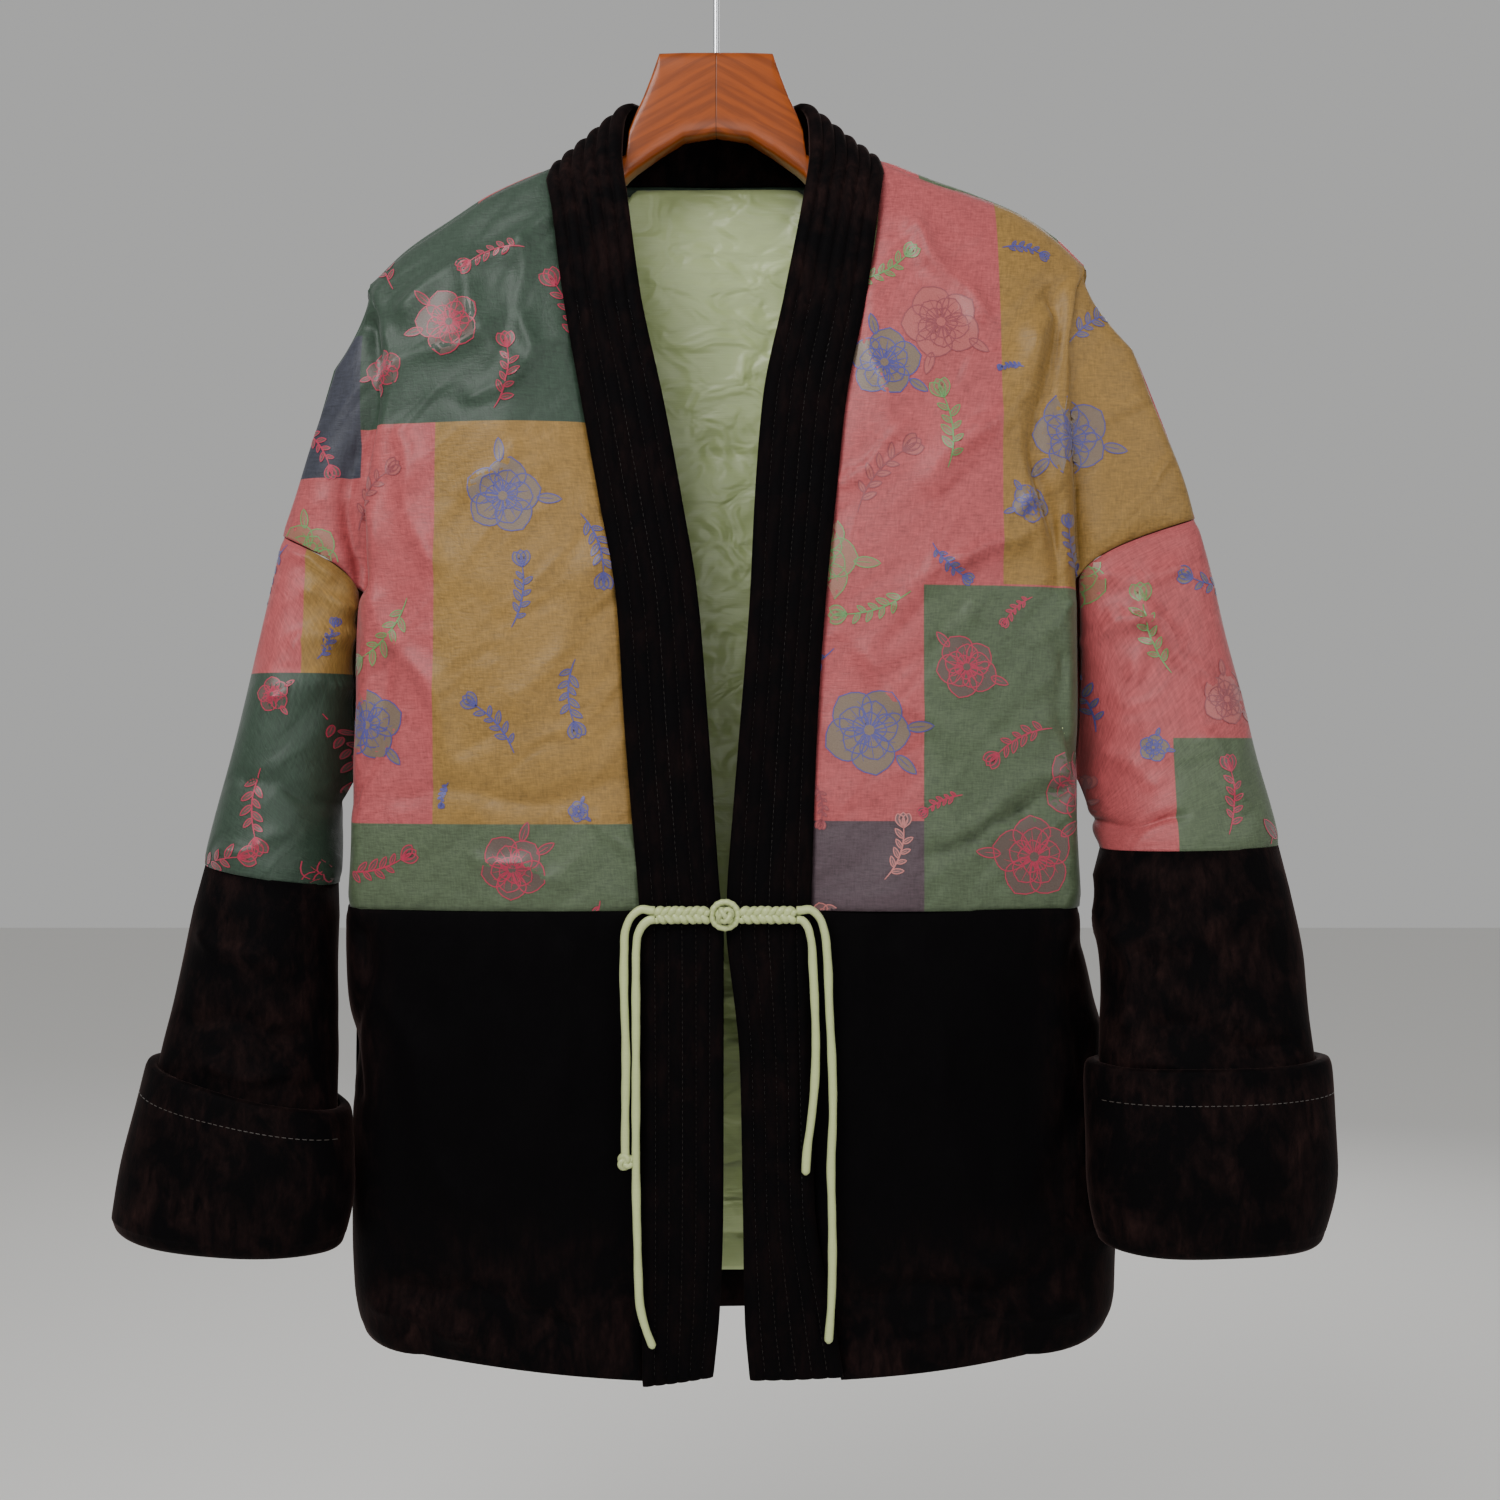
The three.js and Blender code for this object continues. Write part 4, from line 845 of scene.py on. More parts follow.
def add_node(tree, kind, inputs, output=0, **settings):
    """A new node, its settings set first and then its inputs. Returns one of its outputs."""
    node = tree.nodes.new(f"ShaderNode{kind}")
    for key, value in settings.items():
        setattr(node, key, value)
    for key, value in inputs.items():
        feed(node.inputs[key], value)
    return Val(tree, node.outputs[output])


class Val:
    """An output of a shader node, with arithmetic that adds Math nodes."""

    def __init__(self, tree, socket):
        self.tree = tree
        self.socket = socket

    def math(self, operation, *others):
        return add_node(self.tree, "Math", dict(enumerate((self, *others))), operation=operation)

    def __add__(self, other):
        return self.math("ADD", other)

    __radd__ = __add__

    def __sub__(self, other):
        return self.math("SUBTRACT", other)

    def __rsub__(self, other):
        return (self * -1.0) + other

    def __mul__(self, other):
        return self.math("MULTIPLY", other)

    __rmul__ = __mul__

    def __truediv__(self, other):
        return self.math("DIVIDE", other)

    def over(self, low, high):
        """0 below low and 1 above high, with a straight slope between."""
        inputs = {"Value": self, "From Min": low, "From Max": high}
        return add_node(self.tree, "MapRange", inputs, "Result")

# %% [markdown]
# ### A finish
# `Cloth` holds one Principled shader. `place` gives the coordinates, `noise` a varying number,
# and `set` puts a value or a formula on one of the shader's inputs.

# %% A finish


class Cloth:
    """A material under construction: one Principled shader and its inputs."""

    def __init__(self, name, color, roughness, **constants):
        self.material = bpy.data.materials.new(name)
        self.material.use_nodes = True
        self.material.diffuse_color = (*color, 1.0)
        self.tree = self.material.node_tree
        self.shader = self.tree.nodes["Principled BSDF"]
        self.set("Base Color", color)
        self.set("Roughness", roughness)
        for key, value in constants.items():
            self.set(key.replace("_", " "), value)
        self.coords = add_node(self.tree, "TexCoord", {}).socket.node

    def set(self, key, value):
        feed(self.shader.inputs[key], value)

    def place(self, output="Object"):
        """x, y and z of the place in millimetres, or u and v of the cloth."""
        place = Val(self.tree, self.coords.outputs[output])
        parts = add_node(self.tree, "SeparateXYZ", {0: place}).socket.node.outputs
        return [Val(self.tree, socket) * 1000.0 for socket in parts]

    def noise(self, at, detail=2.0, roughness=0.6, distortion=0.0):
        """Noise from 0 to 1 at the three numbers of at."""
        place = add_node(self.tree, "CombineXYZ", dict(enumerate(at)))
        return add_node(self.tree, "TexNoise", {
            "Vector": place, "Scale": 1.0, "Detail": detail, "Roughness": roughness,
            "Distortion": distortion,
        }, "Fac")

    def mix(self, share, a, b):
        """A colour: a where share is 0 and b where it is 1."""
        return add_node(self.tree, "Mix", {0: share, 6: a, 7: b}, 2, data_type="RGBA")

    def scaled(self, color, factor):
        """A colour with its brightness multiplied by a value."""
        return add_node(self.tree, "HueSaturation", {"Color": color, "Value": factor})

    def bump(self, height, strength, distance):
        """Relief of a height in units of distance, in millimetres."""
        inputs = {"Strength": strength, "Distance": distance / 1000, "Height": height}
        self.set("Normal", add_node(self.tree, "Bump", inputs))


def linear(r, g, b):
    """An 8-bit sRGB colour as linear light."""
    return tuple(
        (v / 255 / 12.92) if v <= 10 else ((v / 255 + 0.055) / 1.055) ** 2.4 for v in (r, g, b)
    )

# %% [markdown]
# ## Materials
# The silk is a satin brocade: a fine weave, a faint figure in its own colour and blocks of other
# colours with straight woven borders. The velvet is almost black, with a brown sheen painted into
# its colour where its pile would catch light. The lining and cords are sage satin.

# %% Materials
TEAL = linear(46, 62, 50)
PINK = linear(156, 73, 75)
GOLD = linear(130, 100, 50)
MOSS = linear(72, 84, 62)
MAUVE = linear(72, 58, 64)
INDIGO = linear(50, 52, 62)
SAGE = linear(168, 182, 126)
PILE = linear(3, 2, 3)
# The brown of the sheen that is painted into the velvet's colour.
PAINTED_SHEEN_BROWN = linear(54, 34, 31)


def block(x, z, left=None, right=None, top=None, bottom=None):
    """1 inside a woven block."""
    share = None
    for low, high, at in (
        (left, None, x), (None, right, x), (None, top, z), (bottom, None, z),
    ):
        if low is not None:
            edge = at.over(low - 0.25, low + 0.25)
        elif high is not None:
            edge = 1.0 - at.over(high - 0.25, high + 0.25)
        else:
            continue
        share = edge if share is None else share * edge
    return share

# %% [markdown]
# ### Silk
# Fine threads run across and along the cloth, so the two noises are stretched opposite ways. A
# broad noise wears the colour unevenly and a rumple bends the light.

# %% Silk


def silk(name, ground, blocks):
    """blocks: rows of a colour and the arguments of block, painted in order."""
    cloth = Cloth(name, ground, 0.5, Sheen_Weight=0.10, Sheen_Roughness=0.35,
                  Specular_IOR_Level=0.30)
    x, y, z = cloth.place()
    u, v, _ = cloth.place("UV")
    color = ground
    for tone, facts in blocks:
        color = cloth.mix(block(x, z, **facts), color, tone)
    figure = cloth.noise((u / 11, v / 11, 3.0), 3.0, 0.55, 1.8)
    figure = figure.over(0.47, 0.53)
    thread = cloth.noise((u / 7, v / 1.2, 0.0), 2.0, 0.7)
    warp = cloth.noise((u / 1.2, v / 8, 0.0), 2.0, 0.7)
    worn = cloth.noise((x / 60, z / 60, y / 60), 3.0, 0.5)
    tone = 0.86 + figure * 0.07 + thread * 0.95 + warp * 0.7 + worn * 0.24 - 0.855
    cloth.set("Base Color", cloth.scaled(color, tone))
    cloth.set("Roughness", 0.37 + thread * 0.22)
    rumple = cloth.noise(((x + z) / 75, y / 60, (z - x) / 38), 1.5, 0.4, 0.7)
    cloth.bump(rumple * 9.0 + thread * 0.25 + warp * 0.18 + figure * 0.06, 0.6, 1.0)
    return cloth.material

# %% [markdown]
# ### Velvet
# The ground is almost black. The bloom is a brown sheen painted into the colour, a product of two
# noises, so it is rare and patchy.

# %% Velvet


def pile(name, where="body"):
    """Almost black, with a brown sheen painted into its colour where the pile would catch light: by
    the hem, at the sides, over the shoulders, and most of all on the sleeves."""
    cloth = Cloth(name, PILE, 0.8, Sheen_Weight=0.12, Sheen_Roughness=0.3,
                  Sheen_Tint=(0.50, 0.30, 0.27, 1.0), Specular_IOR_Level=0.05)
    x, y, z = cloth.place()
    crush_and_sheen = cloth.noise((x / 22, y / 22, z / 34), 5.0, 0.62, 0.4)
    streak = cloth.noise((x / 5, y / 5, z / 16), 3.0, 0.6, 0.5)
    nap = cloth.noise((x / 1.5, y / 1.5, z / 2.4), 2.0, 0.7)
    # bloom: where a brown sheen is painted into the colour, in patches of two noises.
    bloom = crush_and_sheen.over(0.42, 0.78) * streak.over(0.25, 0.80)
    # The painted sheen stays by the hem and at the sides on the body, and on the band it grows
    # towards the top, over the shoulders.
    if where == "body":
        low = 1.0 - z.over(-875.0, -800.0)
        sides = x.math("ABSOLUTE").over(192.0, 226.0)
        bloom = bloom * low.math("MAXIMUM", sides)
    elif where == "band":
        bloom = bloom * (0.35 + z.over(-330.0, -200.0) * 0.65)
    color = cloth.mix(bloom * 0.62, PILE, PAINTED_SHEEN_BROWN)
    cloth.set("Base Color", cloth.scaled(color, 0.7 + nap * 0.6))
    cloth.set("Roughness", 0.66 + crush_and_sheen * 0.28)
    cloth.bump(nap * 0.6 + crush_and_sheen * 1.8 + streak * 0.3, 0.5, 0.6)
    return cloth.material

# %% [markdown]
# ### Satin, wood and wire
# Satin has a fine cross thread and soft crumples. Wood is rings bent by noise and mirrored about
# the middle. Wire is plain metal with rubbed patches.

# %% Satin, wood and wire


def satin(name, color=SAGE, roughness=0.34, crumples=7.0):
    """Satin: a fine cross thread and soft crumples."""
    cloth = Cloth(name, color, roughness, Sheen_Weight=0.2, Sheen_Roughness=0.3,
                  Specular_IOR_Level=0.5)
    x, y, z = cloth.place()
    thread = cloth.noise((x / 14, y / 14, z / 0.8), 2.0, 0.6)
    crumple = cloth.noise((x / 30, y / 30, z / 21), 2.0, 0.45, 0.8)
    # The crumple noise, which also makes the bump, lightens the colour where it is high and darkens
    # it where it is low: painted shade in the crumples.
    tone = 0.86 + thread * 0.14 + crumple * 0.14
    cloth.set("Base Color", cloth.scaled(color, tone))
    cloth.set("Roughness", roughness - 0.05 + thread * 0.12)
    cloth.bump(crumple * crumples + thread * 0.2, 0.7, 1.0)
    return cloth.material


def lacquered_wood():
    """Two halves sawn from one board and opened like a book, so their grain mirrors."""
    light = linear(154, 70, 4)
    dark = linear(96, 40, 2)
    wood = Cloth("lacquered_wood", light, 0.34, Coat_Weight=0.16, Coat_Roughness=0.14,
                 Specular_IOR_Level=0.28)
    x, y, z = wood.place()
    out = x.math("ABSOLUTE")
    bend = z + out * 0.55 + y * 0.3
    along_grain = wood.noise((bend / 7, out / 60, y / 14), 3.0, 0.55, 0.5)
    pores = wood.noise((bend / 1.1, out / 26, y / 2), 2.0, 0.7)
    seam = 1.0 - out.over(0.1, 0.5)
    rings = (bend * 0.62 + along_grain * 13.0).math("SINE")
    share = (rings * 0.2 + 0.46 + pores * 0.35 - 0.1).over(0.0, 1.0)
    color = wood.mix(share, light, dark)
    color = wood.mix(seam * 0.75, color, linear(52, 26, 12))
    wood.set("Base Color", color)
    wood.set("Roughness", 0.26 + pores * 0.14)
    wood.bump(pores * 0.5 - seam * 1.2, 0.3, 0.2)
    return wood.material


def polished_wire():
    wire = Cloth("polished_wire", (0.62, 0.63, 0.65), 0.24, Metallic=1.0)
    x, y, z = wire.place()
    rub = wire.noise((x / 3, y / 3, z / 9), 3.0, 0.6)
    wire.set("Roughness", 0.18 + rub * 0.12)
    return wire.material

# %% [markdown]
# ### The finishes
# One for each kind of cloth. Each silk is its ground and its blocks, in order: plain upright
# patches with level ends.

# %% The finishes
# Each velvet has its sheen painted in: the body's by the hem and the sides, the sleeve's all over,
# the band's most over the shoulders.
VELVET = pile("velvet")
SLEEVE_VELVET = pile("velvet_sleeve", "sleeve")
RIBBED = pile("velvet_band", "band")
LINING_SATIN = satin("lining_satin")
CORD_SATIN = satin("cord_satin", linear(172, 182, 126), 0.30, 0.0)
BLOCKS = {
    "front_left": (TEAL, [
        (GOLD, dict(top=-328.0, bottom=-640.0, right=0.0)),
        (PINK, dict(right=-170.0, top=-328.0, bottom=-640.0)),
        (MOSS, dict(top=-572.0, bottom=-640.0)),
        (INDIGO, dict(right=-221.0, top=-268.0, bottom=-358.0)),
        (PINK, dict(right=-221.0, top=-358.0, bottom=-400.0)),
    ]),
    "front_right": (PINK, [
        (GOLD, dict(left=175.0, top=-100.0, bottom=-427.0)),
        (MAUVE, dict(left=0.0, right=131.0, top=-570.0, bottom=-640.0)),
        (MOSS, dict(left=126.0, top=-428.0, bottom=-640.0)),
    ]),
    "sleeve_left": (PINK, [
        (GOLD, dict(left=-254.0, bottom=-640.0, top=-300.0)),
        (TEAL, dict(top=-480.0, bottom=-760.0)),
    ]),
    "sleeve_right": (PINK, [(MOSS, dict(left=279.0, top=-520.0, bottom=-700.0))]),
    "back": (PINK, [
        (TEAL, dict(left=-400.0, right=-150.0, top=-100.0, bottom=-330.0)),
        (TEAL, dict(left=-60.0, right=70.0, top=-100.0, bottom=-360.0)),
        (MOSS, dict(left=128.0, right=216.0, top=-100.0, bottom=-290.0)),
        (GOLD, dict(left=-400.0, right=-60.0, top=-330.0, bottom=-520.0)),
        (MOSS, dict(left=95.0, right=400.0, top=-430.0, bottom=-640.0)),
        (GOLD, dict(left=-60.0, right=95.0, top=-470.0, bottom=-640.0)),
        (MAUVE, dict(left=-400.0, right=-60.0, top=-565.0, bottom=-640.0)),
    ]),
}
SILKS = {name: silk(f"silk_{name}", *facts) for name, facts in BLOCKS.items()}
print("silks", ", ".join(SILKS))

# %% [markdown]
# ## Closure and cords
# A frog of satin cord: a plaited bar on each front, a ball knot on one and a loop round it on the
# other. The loop slips off the ball when it is undone. Each bar is a plait of three strands, and
# the ball is wound like a Turk's head. Two ends hang from each bar, by their own weight.

# %% Tubes


def swept(path, wide, deep, sides=14, ends=True):
    """Points and faces of a tube along a path, its section turned to the path everywhere."""
    path = np.asarray(path, float)
    ahead = np.roll(path, -1, 0) - np.roll(path, 1, 0) if not ends else np.gradient(path, axis=0)
    t = ahead / np.linalg.norm(ahead, axis=1)[:, None]
    frame_a = np.zeros_like(t)
    a = np.cross(t[0], [0.0, 1.0, 0.0])
    if np.linalg.norm(a) < 0.1:
        a = np.cross(t[0], [1.0, 0.0, 0.0])
    for i, tangent in enumerate(t):
        a = a - tangent * (a @ tangent)
        a /= np.linalg.norm(a)
        frame_a[i] = a
    frame_b = np.cross(t, frame_a)
    angle = np.linspace(0, TURN, sides + 1)[:-1]
    wide, deep = (np.broadcast_to(np.asarray(v, float), (len(path),)) for v in (wide, deep))
    points = (
        path[:, None]
        + frame_a[:, None] * (wide[:, None] / 2 * np.cos(angle))[..., None]
        + frame_b[:, None] * (deep[:, None] / 2 * np.sin(angle))[..., None]
    ).reshape(-1, 3)
    rows = len(path) if not ends else len(path) - 1
    faces = []
    for i in range(rows):
        for k in range(sides):
            m, j = (k + 1) % sides, (i + 1) % len(path)
            faces.append([i * sides + k, i * sides + m, j * sides + m, j * sides + k])
    if ends:
        faces.append(list(range(sides))[::-1])
        faces.append([(len(path) - 1) * sides + k for k in range(sides)])
    return points, faces


def joined(name, parts, material, node=None):
    """Several point sets and face lists as one object."""
    points, faces, offset = [], [], 0
    for some, quads in parts:
        points.append(some)
        faces += [[k + offset for k in q] for q in quads]
        offset += len(some)
    obj = finish_mesh(name, np.concatenate(points), faces, None, [material])
    if node:
        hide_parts(node)
    return obj


# %% Cords
CORD = 5.0
KNOT_AT = 6.5
CLOSURE_Y = -70.0
CLOSURE_Z = -626.0
CORDS = {  # x and z down each cord, from its bar to its free end
    "cord_left_long": [
        (-35.3, -628.6), (-38, -628.8), (-42, -631.5), (-45.2, -637), (-46.4, -646),
        (-46.6, -660), (-46.6, -700), (-46.6, -740), (-46.6, -772), (-46.2, -800),
        (-45.6, -822), (-45, -842), (-43.8, -860), (-40, -874), (-36, -884),
    ],
    "cord_left_short": [
        (-35.3, -623.3), (-38, -623.2), (-43, -622.5), (-49, -626.5), (-52.6, -634),
        (-53.6, -648), (-53.8, -666), (-53.4, -684), (-52.8, -700), (-52.6, -716),
        (-52.8, -732), (-53, -750), (-53, -764), (-52.8, -777),
    ],
    "cord_right_long": [
        (49.3, -623.3), (52, -623.2), (57, -622.6), (62.6, -627), (66, -636), (67.6, -650),
        (68.8, -680), (70.4, -712), (71, -745), (69.8, -776), (70.4, -804), (70.6, -830),
        (70, -856), (68.2, -881),
    ],
    "cord_right_short": [
        (49.3, -628.6), (52, -628.8), (55.6, -632.6), (57.8, -640), (59, -656), (60.2, -680),
        (60.8, -704), (60, -728), (57.8, -750), (55.6, -766), (54.6, -781),
    ],
}


def hanging(rows):
    """The cord's centre line: a curve through the rows, leaning out over the band below."""
    p = np.array(rows, float)
    s = distances(p)
    at = np.linspace(0, s[-1], int(s[-1] / 1.6))
    slope = np.gradient(p, s, axis=0)
    i = np.clip(np.searchsorted(s, at, side="right") - 1, 0, len(s) - 2)
    h = (s[i + 1] - s[i])[:, None]
    t = ((at - s[i])[:, None]) / h
    xz = (
        p[i] * (2 * t**3 - 3 * t**2 + 1) + slope[i] * h * (t**3 - 2 * t**2 + t)
        + p[i + 1] * (3 * t**2 - 2 * t**3) + slope[i + 1] * h * (t**3 - t**2)
    )
    y = lerp(CLOSURE_Y, CLOSURE_Y - 2.5, clamp((-715 - xz[:, 1]) / 145))
    return np.stack([xz[:, 0], y, xz[:, 1]], 1)


for name, rows in CORDS.items():
    line = hanging(rows)
    s = distances(line)
    left_over = s[-1] - s
    soft = 1 + 0.05 * np.sin(s / 9.0 + len(name)) + 0.03 * np.sin(s / 3.7)
    end = np.sqrt(clamp(left_over / 2.0 + 0.12))
    obj = joined(f"{name}_satin", [swept(line, CORD * soft * end, (CORD - 0.4) * end)],
                 CORD_SATIN, node=name)
    extra = []
    if name == "cord_left_short":
        turn = np.linspace(0, TURN, 61)[:-1]
        ring = 2.7 + 1.3 * np.cos(3 * turn)
        coil = np.stack([
            line[-1, 0] + ring * np.cos(2 * turn), line[-1, 1] + 1.3 * np.sin(3 * turn),
            line[-1, 2] + 4 + ring * np.sin(2 * turn),
        ], 1)
        extra = [joined("cord_left_short_knot", [swept(coil, 3.4, 3.4, 10, ends=False)],
                        CORD_SATIN)]
    print(name, "length", round(float(s[-1]), 1), "mm")

# %% Frog
STRANDS = 3
PLAITS = 5.0


def plait(name, node, start, end):
    """Strands a third of a turn apart that cross in front of each other, drawn in at both ends."""
    t = np.linspace(0, 1, 110)
    taper = np.sqrt(clamp(np.minimum(t, 1 - t) * 22 + 0.35))
    parts = []
    for k in range(STRANDS):
        phase = TURN * (PLAITS / 2 * t + k / STRANDS)
        line = np.stack([
            lerp(start, end, t), CLOSURE_Y - 1.1 * np.sin(2 * phase) * taper,
            CLOSURE_Z + 3.2 * np.sin(phase) * taper,
        ], 1)
        parts.append(swept(line, 4.8 * taper, 3.8 * taper, 12))
    return joined(name, parts, CORD_SATIN, node=node)


plait("frog_bar_left_plait", "frog_bar_left", -35.0, KNOT_AT - 9.4)
plait("frog_bar_right_plait", "frog_bar_right", KNOT_AT + 9.4, 49.0)

turn = np.linspace(0, TURN, 241)[:-1]
lift = 4.1 + 0.6 * np.sin(8 * turn)
tilt = 0.98 * np.sin(4 * turn)
ball = np.stack([
    KNOT_AT + lift * np.cos(tilt) * np.cos(3 * turn), CLOSURE_Y - 1 - lift * np.cos(tilt)
    * np.sin(3 * turn), CLOSURE_Z + lift * np.sin(tilt),
], 1)
joined("frog_knot_wound", [swept(ball, 3.3, 3.3, 10, ends=False)], CORD_SATIN, node="frog_knot")
turn = np.linspace(0, TURN, 91)[:-1]
ring = np.stack([
    KNOT_AT + 7.7 * np.cos(turn), 0 * turn + CLOSURE_Y, CLOSURE_Z + 7.7 * np.sin(turn),
], 1)
ply = 1 + 0.07 * np.sin(15 * turn)
joined("frog_loop_cord", [swept(ring, 3.9 * ply, 3.9 * ply, 12, ends=False)], CORD_SATIN,
       node="frog_loop")
print("frog centred", KNOT_AT, "mm right of the hook, at height", CLOSURE_Z)

# %% [markdown]
# ## Fronts, back and sleeves
# Every panel is sampled at these columns and rows. Panels that meet use the same ones, so that
# their points fall together along the seam.

# %% Sampling
FACE = np.linspace(0, 1, 40)
ROUND = np.linspace(1, 2, 15)[1:]
COLUMNS = np.concatenate((FACE, ROUND))
CAP_COLUMNS = np.linspace(0, 1, 16)
CAP_ROWS = np.linspace(0, 1, 60)
PANEL_ROWS = 70
SKIRT_ROWS = np.linspace(0, 1, 90)
RING = 96
ANGLES = np.linspace(0, TURN, RING + 1)[:-1]
RING_PITCH = 2.9
STATION = 60
SEAM_STATION = 0.34

# %% [markdown]
# ### Creases set one by one
# Each runs from (x, z) to (x, z) with its width and height: ridges up, troughs below 0.

# %% Folds
SILK_FOLDS = {
    "left": [
        (-102, -196, -190, -256, 10, 2.4), (-93, -274, -147, -316, 8, 1.8),
        (-120, -214, -112, -282, 8, 1.6), (-205, -300, -130, -262, 8, 1.6),
        (-192, -334, -171, -413, 9, 1.8), (-69, -413, -117, -497, 12, 1.3),
        (-207, -437, -159, -533, 10, 1.7), (-189, -557, -57, -545, 8, -1.3),
        (-141, -594, -93, -606, 6, 1.4), (-69, -569, -45, -600, 5, 1.7),
        (-216, -262, -219, -425, 8, -2.8), (-160, -222, -120, -300, 13, 1.9),
        (-203, -270, -207, -400, 7, 1.1),
        (-198, -470, -222, -560, 7, -1.8), (-120, -345, -150, -372, 6, 1.1),
    ],
    "right": [
        (124, -202, 163, -262, 8, 2.6), (206, -262, 130, -365, 12, 2.4),
        (190, -375, 112, -440, 7, 1.5),
        (148, -413, 196, -389, 6, 1.7), (131, -591, 156, -581, 3.5, -1.8),
        (156, -581, 185, -565, 3.5, -2.1), (185, -565, 216, -550, 3.5, -1.6),
        (136, -580, 212, -541, 8, 1.3), (76, -365, 115, -334, 7, 1.3),
        (193, -461, 217, -437, 5, 1.4), (210, -250, 212, -425, 9, -3.2),
        (196, -275, 199, -405, 8, 1.3),
        (96, -250, 104, -330, 12, 1.4), (92, -470, 140, -520, 11, 1.3),
        (214, -470, 222, -540, 6, -1.6), (150, -455, 168, -430, 5, 1.0),
    ],
    "sleeve_left": [
        (-250, -431, -218, -438, 4.5, 2.0), (-258, -462, -220, -452, 5, 2.1),
        (-270, -495, -224, -486, 6, 1.5), (-290, -545, -236, -560, 7, -1.5),
        (-262, -405, -240, -418, 5, 1.4), (-300, -590, -262, -578, 6, 1.2),
    ],
    "sleeve_right": [
        (247, -443, 287, -461, 4.5, 2.0), (263, -437, 302, -485, 5, 2.2),
        (232, -461, 269, -444, 5, 1.7), (269, -461, 251, -497, 6, 1.5),
        (226, -571, 281, -567, 3.5, -1.7), (240, -420, 290, -416, 6, 1.3),
        (300, -520, 322, -560, 7, 1.2), (243, -530, 268, -548, 6, 1.1),
    ],
    "back": [
        (-190, -240, -110, -300, 13, 2.0), (-60, -215, -96, -330, 15, 1.6),
        (60, -230, 128, -292, 12, 1.9), (196, -250, 140, -360, 14, 1.9),
        (-205, -410, -150, -520, 11, 1.7), (-120, -430, -30, -470, 9, 1.2),
        (150, -440, 205, -540, 10, 1.7), (20, -520, 96, -560, 8, -1.4),
        (-170, -590, -60, -572, 6, -1.5), (90, -380, 132, -350, 7, 1.2),
    ],
}
VELVET_FOLDS = {
    "left": [
        (-200, -680, -150, -800, 18, 1.8), (-90, -650, -110, -770, 20, 1.3),
        (-196, -850, -90, -872, 9, -1.6), (-215, -640, -222, -740, 8, -2.4),
        (-205, -868, -150, -880, 7, 1.8),
    ],
    "right": [
        (110, -650, 150, -780, 19, 1.6), (224, -650, 205, -800, 11, -2.2),
        (92, -858, 200, -846, 9, -1.8), (120, -876, 214, -868, 7, 2.2),
        (235, -700, 240, -830, 10, 1.9), (150, -838, 228, -822, 8, 1.5),
    ],
    "sleeve_left": [
        (-310, -640, -262, -660, 7, 1.7), (-318, -690, -250, -700, 9, -1.7),
        (-300, -715, -250, -722, 6, 1.6),
    ],
    "sleeve_right": [
        (240, -600, 246, -690, 8, 2.0), (250, -640, 330, -628, 8, 1.4),
        (262, -690, 340, -700, 8, -1.7), (250, -712, 330, -716, 6, 1.7),
    ],
    "back": [
        (-180, -660, -130, -800, 20, 1.8), (-40, -650, -20, -790, 22, 1.3),
        (90, -650, 128, -800, 20, 1.7), (180, -700, 205, -850, 14, 1.6),
        (-200, -862, -60, -872, 9, -1.6), (40, -872, 190, -860, 9, -1.7),
    ],
}


CREASE = 2.4


def padding(height, pitch, table=()):
    """A relief: waves of that height and pitch, and the creases of a table."""
    return lambda sheet: waves(sheet.points, height, pitch) + CREASE * folds(sheet.points, table)

# %% [markdown]
# ### Front panels
# Rows lie closer down to the armhole's crease, where the cap joins the panel row by row.

# %% Front panels


def front(side, silk_cloth):
    """The silk panel with its cap, and the velvet below it."""
    top = side.top(RIDGE_SEAM)
    stop, _ = row_stops(side, top)
    rows = np.concatenate((stop * CAP_ROWS, np.linspace(stop, 1, PANEL_ROWS)[1:]))
    panel = net(side, front_silk(side, COLUMNS, rows))
    cap = net(side, front_cap(side, CAP_COLUMNS, CAP_ROWS))
    sheet = Sheet(panel, cap)
    wall(
        f"front_{side.name}_silk_cloth", sheet, CLOTH, [silk_cloth, LINING_SATIN],
        padding(1.1, 24, SILK_FOLDS[side.name]), node=f"front_{side.name}_silk",
    )
    grid = skirt(side, FRONT, COLUMNS, SKIRT_ROWS, lambda z: side.edge(z) - UNDERLAP)
    wall(
        f"front_{side.name}_velvet_cloth", Sheet(net(side, grid)), CLOTH,
        [VELVET, LINING_SATIN], padding(1.2, 30, VELVET_FOLDS[side.name]),
        node=f"front_{side.name}_velvet",
    )

# %% [markdown]
# ### Back panels
# Both sides are one sheet of cloth, so their rows have to agree along the middle.

# %% Back panels


def back_rows(side):
    """Shares of the way down: close above the armhole's crease, wider below it."""
    tip_z = side.top(RIDGE_BACK)
    stop, _ = row_stops(side, tip_z)
    return np.concatenate((stop * CAP_ROWS, np.linspace(stop, 1, PANEL_ROWS)[1:]))


